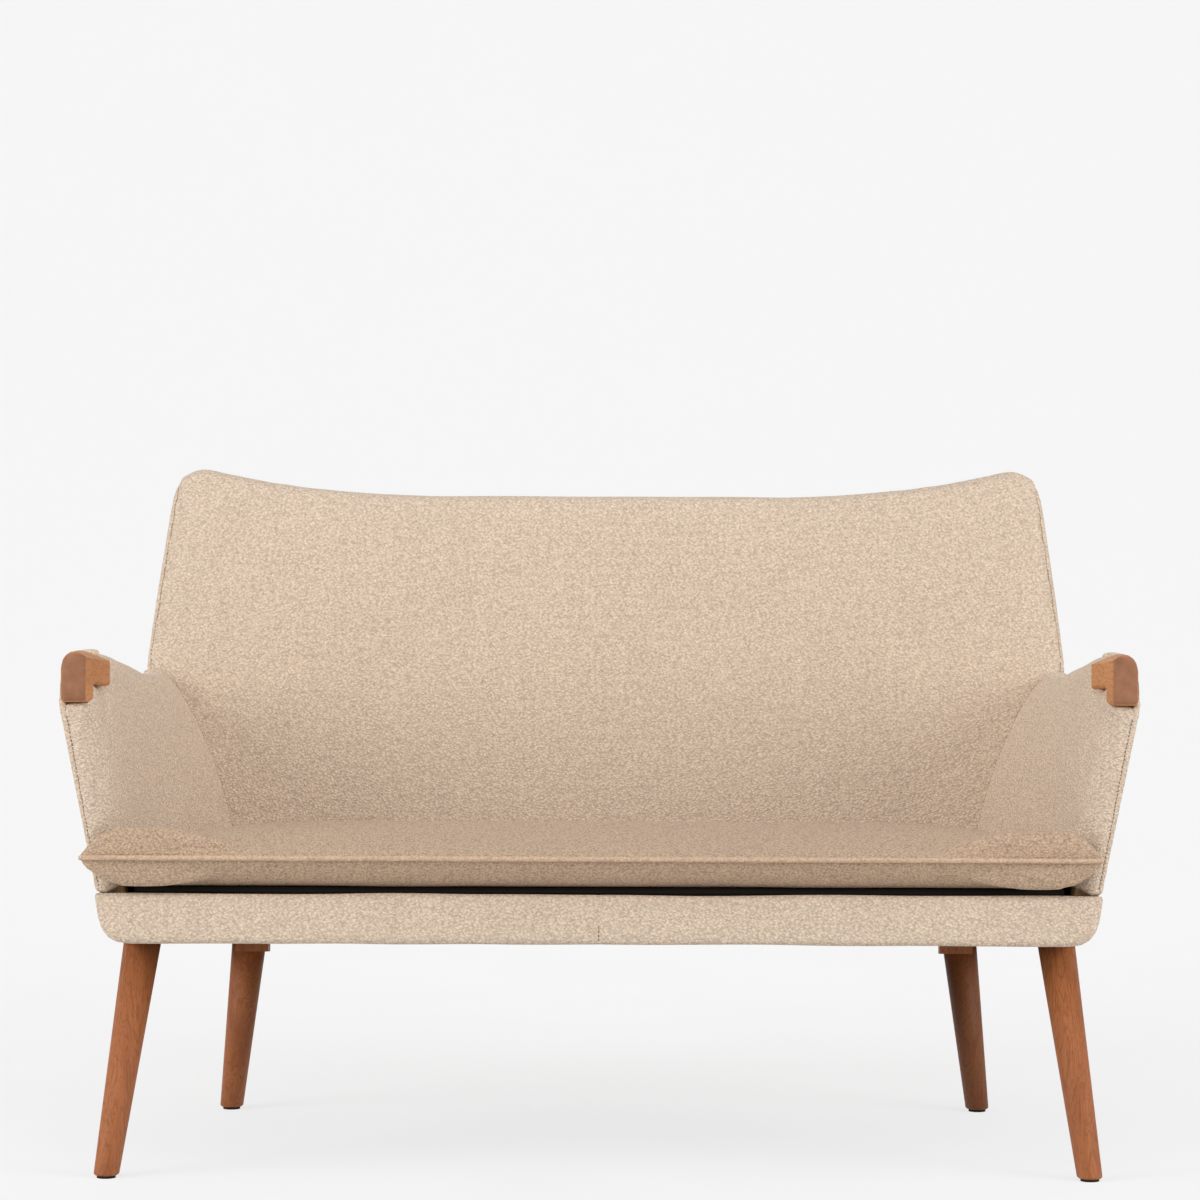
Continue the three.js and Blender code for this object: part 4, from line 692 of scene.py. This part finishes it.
def stitched(name, lines, finish, body, thread, stitch, gap):
    """Rows of sewn stitches, one along each line of points"""
    bm = bmesh.new()
    for line in lines:
        if len(line) < 3:
            continue
        steps = evened(line, stitch + gap)
        for start, end in zip(steps, steps[1:]):
            turn = (end - start).normalized().to_track_quat("Z", "Y").to_matrix().to_4x4()
            bmesh.ops.create_icosphere(
                bm, subdivisions=1, radius=thread / 2,
                matrix=Matrix.Translation(start.lerp(end, 0.5)) @ turn @ Matrix.Diagonal((1, 1, stitch / thread, 1)))
    piece = piece_from(bm, name, finish, body)
    return piece


# PIECES


class SETTEE_OT_stage(bpy.types.Operator):
    """Camera, floor with its backdrop, and soft lamps"""

    bl_idname = "settee.stage"
    bl_label = "Stage"

    def execute(self, context):
        sizes = context.scene.settee_stage
        scene = context.scene
        scene.view_settings.view_transform = "Standard"
        camera = bpy.data.cameras.new("camera")
        camera.lens = sizes.lens
        camera.sensor_width = 36
        camera.shift_x, camera.shift_y = sizes.shift
        holder = bpy.data.objects.new("camera", camera)
        scene.collection.objects.link(holder)
        holder.location = (sizes.camera_aside, -sizes.camera_distance, sizes.camera_height)
        holder.rotation_euler = (math.pi / 2, sizes.camera_roll, 0)
        scene.camera = holder

        bm = bmesh.new()
        side, back, sweep = -sizes.floor_half_width, sizes.floor_back, sizes.sweep
        edge = [bm.verts.new((side, y, 0)) for y in (sizes.floor_front, back)]
        edge += [bm.verts.new((side, back + sweep * math.sin(a), sweep - sweep * math.cos(a)))
                 for a in (math.radians(t) for t in range(10, 91, 10))]
        edge.append(bm.verts.new((side, back + sweep, sizes.backdrop_height)))
        rows = [bm.edges.new(pair) for pair in zip(edge, edge[1:])]
        swept = bmesh.ops.extrude_edge_only(bm, edges=rows)["geom"]
        bmesh.ops.translate(bm, verts=[v for v in swept if isinstance(v, bmesh.types.BMVert)],
                            vec=(2 * sizes.floor_half_width, 0, 0))
        bmesh.ops.recalc_face_normals(bm, faces=bm.faces)
        mesh = bpy.data.meshes.new("studio_floor")
        bm.to_mesh(mesh)
        bm.free()
        mesh.shade_smooth()
        n = Nodes("studio_floor")
        path = n.add("LightPath")
        seen = n.math("MAXIMUM", path.outputs["Is Camera Ray"], path.outputs["Is Glossy Ray"])
        seen = n.math("MAXIMUM", seen, path.outputs["Is Transmission Ray"])
        place = n.add("TexCoord").outputs["Object"]
        far = n.add("SeparateXYZ", Vector=place).outputs["Y"]
        tone = n.mix(n.ramp(n.math("MULTIPLY", n.math("ADD", far, 0.5), 0.33), ((0.0, 0.0), (1.0, 1.0))),
                     tuple(sizes.floor), tuple(sizes.backdrop))
        grain = n.add("TexNoise", {"Scale": 3.0, "Detail": 2.0}, Vector=place).outputs["Fac"]
        diffuse = n.add("BsdfDiffuse", {"Color": (*sizes.floor_paint, 1)}, Roughness=grain)
        glow = n.add("Emission", {"Strength": 1.0}, Color=tone)
        both = n.add("MixShader", Fac=n.math("MULTIPLY", seen, sizes.glow))
        n.tree.links.new(diffuse.outputs[0], both.inputs[1])
        n.tree.links.new(glow.outputs[0], both.inputs[2])
        mesh.materials.append(n.finish(both.outputs[0]))
        floor = bpy.data.objects.new("studio_floor", mesh)
        scene.collection.objects.link(floor)

        world = bpy.data.worlds.new("studio")
        scene.world = world
        world.use_nodes = True
        sky = world.node_tree.nodes["Background"].inputs
        sky["Color"].default_value = (1, 1, 1, 1)
        sky["Strength"].default_value = sizes.daylight
        for name, spot, size, power in (
            ("over_lamp", (0.0, -1.6, 3.2), (3.4, 2.0), sizes.over_power),
            ("left_lamp", (-4.0, -2.4, 1.9), (2.4, 2.4), sizes.left_power),
            ("right_lamp", (4.0, -2.4, 1.7), (2.4, 2.4), sizes.right_power),
        ):
            lamp = bpy.data.lights.new(name, "AREA")
            lamp.shape = "RECTANGLE"
            lamp.size, lamp.size_y = size
            lamp.energy = power
            stand = bpy.data.objects.new(name, lamp)
            stand.location = spot
            stand.rotation_euler = (Vector((0, 0, sizes.aim)) - Vector(spot)).to_track_quat("-Z", "Y").to_euler()
            scene.collection.objects.link(stand)
        return {"FINISHED"}


class SETTEE_OT_inside_back(bpy.types.Operator):
    """The padded inside back with its raised corners"""

    bl_idname = "settee.inside_back"
    bl_label = "Inside back"

    def execute(self, context):
        sizes = context.scene.settee_cloth
        facing = Vector((0, -math.cos(sizes.rake), math.sin(sizes.rake)))
        piece = cover("inside_back", "wool", FRAME_BODY, ("inside_back_cover", "inside_back_padding"),
                      sizes.back_voxel, sizes.cover_rounds,
                      lambda co, normal: normal.dot(facing) > 0.93, sizes.back_face_rounds)
        for side, sign in SIDES:
            tucked(piece, (f"outside_arm_cover_{side}",), (sign * sizes.tuck, 0, 0), sizes.tuck_reach)
        uneven(piece, sizes.unevenness, sizes.uneven_reach)
        return {"FINISHED"}


class SETTEE_OT_arms(bpy.types.Operator):
    """The padded inside arms"""

    bl_idname = "settee.arms"
    bl_label = "Inside arms"

    def execute(self, context):
        sizes = context.scene.settee_cloth
        for side, sign in SIDES:
            facing = Vector((-sign, -0.25, 0.2)).normalized()
            piece = cover(f"inside_arm_{side}", "wool", FRAME_BODY,
                          (f"inside_arm_cover_{side}", f"arm_padding_{side}"),
                          sizes.arm_voxel, sizes.cover_rounds,
                          lambda co, normal: normal.dot(facing) > 0.7, sizes.arm_face_rounds)
            edge = surface(f"outside_arm_cover_{side}", f"grip_{side}", "inside_back_cover")
            smoothed(piece, sizes.arm_front_rounds,
                     lambda co, normal: edge.find_nearest(co, sizes.arm_edge)[0] is None)
            tucked(piece, ("inside_back_cover",), (sign * sizes.tuck, sizes.arm_back_tuck, 0), sizes.arm_back_tuck)
            tucked(piece, (f"outside_arm_cover_{side}",), (sign * sizes.arm_tuck, 0, 0), sizes.tuck_reach)
            crowned(piece)
            uneven(piece, sizes.unevenness, sizes.uneven_reach)
        return {"FINISHED"}


class SETTEE_OT_outside_covers(bpy.types.Operator):
    """The outside arms, which run on up the sides of the back, and the outside back"""

    bl_idname = "settee.outside_covers"
    bl_label = "Outside covers"

    def execute(self, context):
        sizes = context.scene.settee_cloth
        for side, sign in SIDES:
            crowned(cover(f"outside_arm_{side}", "wool", FRAME_BODY, (f"outside_arm_cover_{side}",),
                          sizes.plate_voxel, sizes.plate_rounds,
                          lambda co, normal: abs(normal.x) > 0.9, sizes.plate_face_rounds))
        piece = cover("outside_back", "wool", FRAME_BODY, ("outside_back_cover",), sizes.back_voxel,
                      sizes.rear_rounds, lambda co, normal: normal.y > 0.9, sizes.rear_face_rounds)
        for side, sign in SIDES:
            tucked(piece, (f"outside_arm_cover_{side}",), (sign * sizes.tuck, 0, 0), sizes.rear_tuck_reach)
        return {"FINISHED"}


class SETTEE_OT_front_band(bpy.types.Operator):
    """The padded band along the front rail, in two halves"""

    bl_idname = "settee.front_band"
    bl_label = "Front band"

    def execute(self, context):
        sizes = context.scene.settee_cloth
        for (side, sign), (other, _) in zip(SIDES, reversed(SIDES)):
            piece = cover(f"front_band_cover_{side}", "wool", FRAME_BODY, (f"front_band_{side}",),
                          sizes.band_voxel, sizes.band_rounds)
            tucked(piece, (f"front_band_{other}",), (-sign * sizes.band_tuck, 0, 0), sizes.band_tuck_reach)
            uneven(piece, sizes.band_unevenness, sizes.uneven_reach)
        return {"FINISHED"}


class SETTEE_OT_seat_cushion(bpy.types.Operator):
    """The loose seat cushion, swelled by its filling"""

    bl_idname = "settee.seat_cushion"
    bl_label = "Seat cushion"

    def execute(self, context):
        sizes = context.scene.settee_cloth
        nodes = ("cushion_top_cover", "cushion_bottom_cover", "cushion_core")
        bm = bmesh.new()
        joined_copy(bm, *nodes)
        piping_low, piping_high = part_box("cushion_piping")
        for side, sign in SIDES:
            tip = piping_high[0] if sign > 0 else piping_low[0]
            eared(bm, tip, (piping_low[1] + sizes.ear_setback, sizes.ear_level), sizes, sign)
        piece = remeshed(piece_from(bm, "seat_cushion_pad", "seat_wool", CUSHION_BODY), sizes.cushion_voxel)
        smoothed(piece, sizes.cushion_rounds)
        smoothed(piece, sizes.cushion_top_rounds, lambda co, normal: normal.z > 0.9)
        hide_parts(*nodes)
        seam, deck = surface("cushion_piping"), surface("seat_deck")

        def held(place, normal):
            return (seam.find_nearest(place, sizes.seam_hold)[0] is not None
                    or deck.find_nearest(place, sizes.deck_hold)[0] is not None)

        swelled(piece, sizes.pressure, sizes.cushion_swell, held)
        uneven(piece, sizes.unevenness, sizes.uneven_reach, lambda co, normal: not held(co, normal))
        subdivided(piece)
        piece.data.shade_smooth()
        bm = bmesh.new()
        joined_copy(bm, "cushion_piping")
        bmesh.ops.join_triangles(bm, faces=bm.faces, angle_face_threshold=3.1, angle_shape_threshold=3.1)
        bm.normal_update()
        for vertex in bm.verts:
            vertex.co += vertex.normal * sizes.piping_fullness
        # painted highlight: the piping takes the lighter copy of the cushion's wool
        piping = piece_from(bm, "seat_cushion_piping", "lit_piping_wool", CUSHION_BODY)
        subdivided(piping)
        piping.data.shade_smooth()
        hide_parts("cushion_piping")
        return {"FINISHED"}


class SETTEE_OT_under_seat(bpy.types.Operator):
    """The seat deck in its platform cloth, dark as cloth and as painted shade under the cushion, the webbing, the
    hessian and the black cloth under the seat
    """

    bl_idname = "settee.under_seat"
    bl_label = "Under the seat"

    def execute(self, context):
        sizes = context.scene.settee_cloth
        # the platform's dark cloth also stands in for the shade under the cushion's front
        deck = cover("seat_platform", "shaded_platform_cloth", FRAME_BODY, ("seat_deck",), sizes.deck_voxel,
                     sizes.deck_rounds)
        for name, finish, node, slot in (("webbing_straps", "jute", "seat_webbing", "jute"),
                                         ("back_canvas", "jute", "back_hessian", "jute"),
                                         ("black_dust_cloth", "black_cloth", "dust_cover", "dust_cloth")):
            bm = bmesh.new()
            joined_copy(bm, node)
            piece = piece_from(bm, name, finish, FRAME_BODY, smooth=False)
            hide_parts(node)
        return {"FINISHED"}


class SETTEE_OT_legs(bpy.types.Operator):
    """Four turned legs, the right rear one in a darker copy of the leg wood as painted shade"""

    bl_idname = "settee.legs"
    bl_label = "Legs"

    def execute(self, context):
        for end in ("front", "rear"):
            for side, _ in SIDES:
                node = f"{end}_leg_{side}"
                bm = bmesh.new()
                joined_copy(bm, node)
                # painted shade: the right rear leg takes the darker copy of the leg wood
                finish = "shaded_leg_wood" if node == "rear_leg_right" else "leg_wood"
                piece = piece_from(bm, f"turned_{node}", finish, FRAME_BODY, smooth=False)
                piece.data.shade_smooth()
                piece.data.set_sharp_from_angle(angle=math.radians(35))
                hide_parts(node)
        return {"FINISHED"}


class SETTEE_OT_grips(bpy.types.Operator):
    """The two wooden hand grips, rubbed soft at their edges"""

    bl_idname = "settee.grips"
    bl_label = "Hand grips"

    def execute(self, context):
        sizes = context.scene.settee_wood
        for side, sign in SIDES:
            piece = cover(f"hand_grip_{side}", "grip_wood", FRAME_BODY, (f"grip_{side}",), sizes.grip_voxel,
                          sizes.grip_rounds)
            low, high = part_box(f"grip_{side}")
            near, far = sorted((abs(low[0]), abs(high[0])))
            for vertex in piece.data.vertices:
                share = (abs(vertex.co.x) - near) / (far - near)
                line = high[2] - np.interp(share, sizes.top_shares, sizes.top_drops)
                vertex.co.z = min(vertex.co.z, float(line))
            smoothed(piece, sizes.grip_rounds)
        return {"FINISHED"}


class SETTEE_OT_seams(bpy.types.Operator):
    """The sewn seams of the covers, with their stitches, whose dark thread is painted shade along the creases"""

    bl_idname = "settee.seams"
    bl_label = "Seams"
    rows = 120  # places at which a seam is looked for
    eye = 1.2  # distance of the rays' starts from the middle, well clear of the settee

    def seam(self, pair, sign, span, behind=False):
        """The crease between two pieces, looked for from `start` to `end` across and from `low` to `high`"""
        start, end, low, high = span
        y = self.eye if behind else -self.eye
        rows = [((sign * start, y, z), (sign * end, y, z)) for z in np.linspace(low, high, self.rows)]
        return crease(*pair, rows, (0, -1, 0) if behind else (0, 1, 0))

    def execute(self, context):
        sizes = context.scene.settee_cloth
        pieces = bpy.data.objects
        band = [pieces[f"front_band_cover_{side}"] for side, _ in SIDES]
        lines = []
        for side, sign in SIDES:
            arm, outside, back = pieces[f"inside_arm_{side}"], pieces[f"outside_arm_{side}"], pieces["inside_back"]
            lines += [self.seam(pair, sign, span) for pair, span in (
                ((arm, back), (0.62, 0.40, 0.34, 0.60)),
                ((outside, arm), (0.68, 0.55, 0.30, 0.56)),
                ((outside, back), (0.67, 0.50, 0.60, 0.82)),
            )]
            lines.append(self.seam((outside, pieces["outside_back"]), sign, (0.67, 0.40, 0.28, 0.84), behind=True))
        lines.append(self.seam(band, 1, (-0.012, 0.012, 0.250, 0.309)))
        # the stitches sit in the creases; their dark thread is painted shade there
        stitched("seam_shade_stitches", lines, "seam_shade_thread", FRAME_BODY, sizes.thread, sizes.stitch, sizes.stitch_gap)
        return {"FINISHED"}


class SETTEE_OT_inner_frame(bpy.types.Operator):
    """Finishes of the CAD pieces that stay as they are"""

    bl_idname = "settee.inner_frame"
    bl_label = "Inner frame"

    def execute(self, context):
        finishes = {"wood": "leg_wood", "beech": "beech", "wool": "wool", "seat_wool": "seat_wool",
                    "wadding": "wadding", "jute": "jute", "dust_cloth": "black_cloth", "felt": "felt"}
        for part in frame["record"]["subparts"]:
            node = frame["nodes"][part["node"]]
            finish = material(finishes[part["material_slot"]])
            for slot in node.material_slots:
                slot.material = finish
        return {"FINISHED"}


OPERATORS = (
    SETTEE_OT_stage, SETTEE_OT_inner_frame, SETTEE_OT_inside_back, SETTEE_OT_arms, SETTEE_OT_outside_covers,
    SETTEE_OT_front_band, SETTEE_OT_under_seat, SETTEE_OT_seat_cushion, SETTEE_OT_grips, SETTEE_OT_legs,
    SETTEE_OT_seams,
)


class SETTEE_PT_panel(bpy.types.Panel):
    """Lists the settee's sizes and the makers of its pieces"""

    bl_idname = "SETTEE_PT_panel"
    bl_label = "High back settee"
    bl_space_type = "VIEW_3D"
    bl_region_type = "UI"
    bl_category = "Settee"

    def draw(self, context):
        for name, group in GROUPS:
            box = self.layout.box()
            for key in group.__annotations__:
                box.prop(getattr(context.scene, name), key)
        for operator in OPERATORS:
            self.layout.operator(operator.bl_idname)


def register():
    for name, group in GROUPS:
        bpy.utils.register_class(group)
        setattr(bpy.types.Scene, name, PointerProperty(type=group))
    for part in (*OPERATORS, SETTEE_PT_panel):
        bpy.utils.register_class(part)


def unregister():
    for part in reversed((*OPERATORS, SETTEE_PT_panel)):
        bpy.utils.unregister_class(part)
    for name, group in reversed(GROUPS):
        delattr(bpy.types.Scene, name)
        bpy.utils.unregister_class(group)


def main():
    register()
    for operator in OPERATORS:
        module, name = operator.bl_idname.split(".")
        getattr(getattr(bpy.ops, module), name)()


if __name__ == "__main__":
    main()
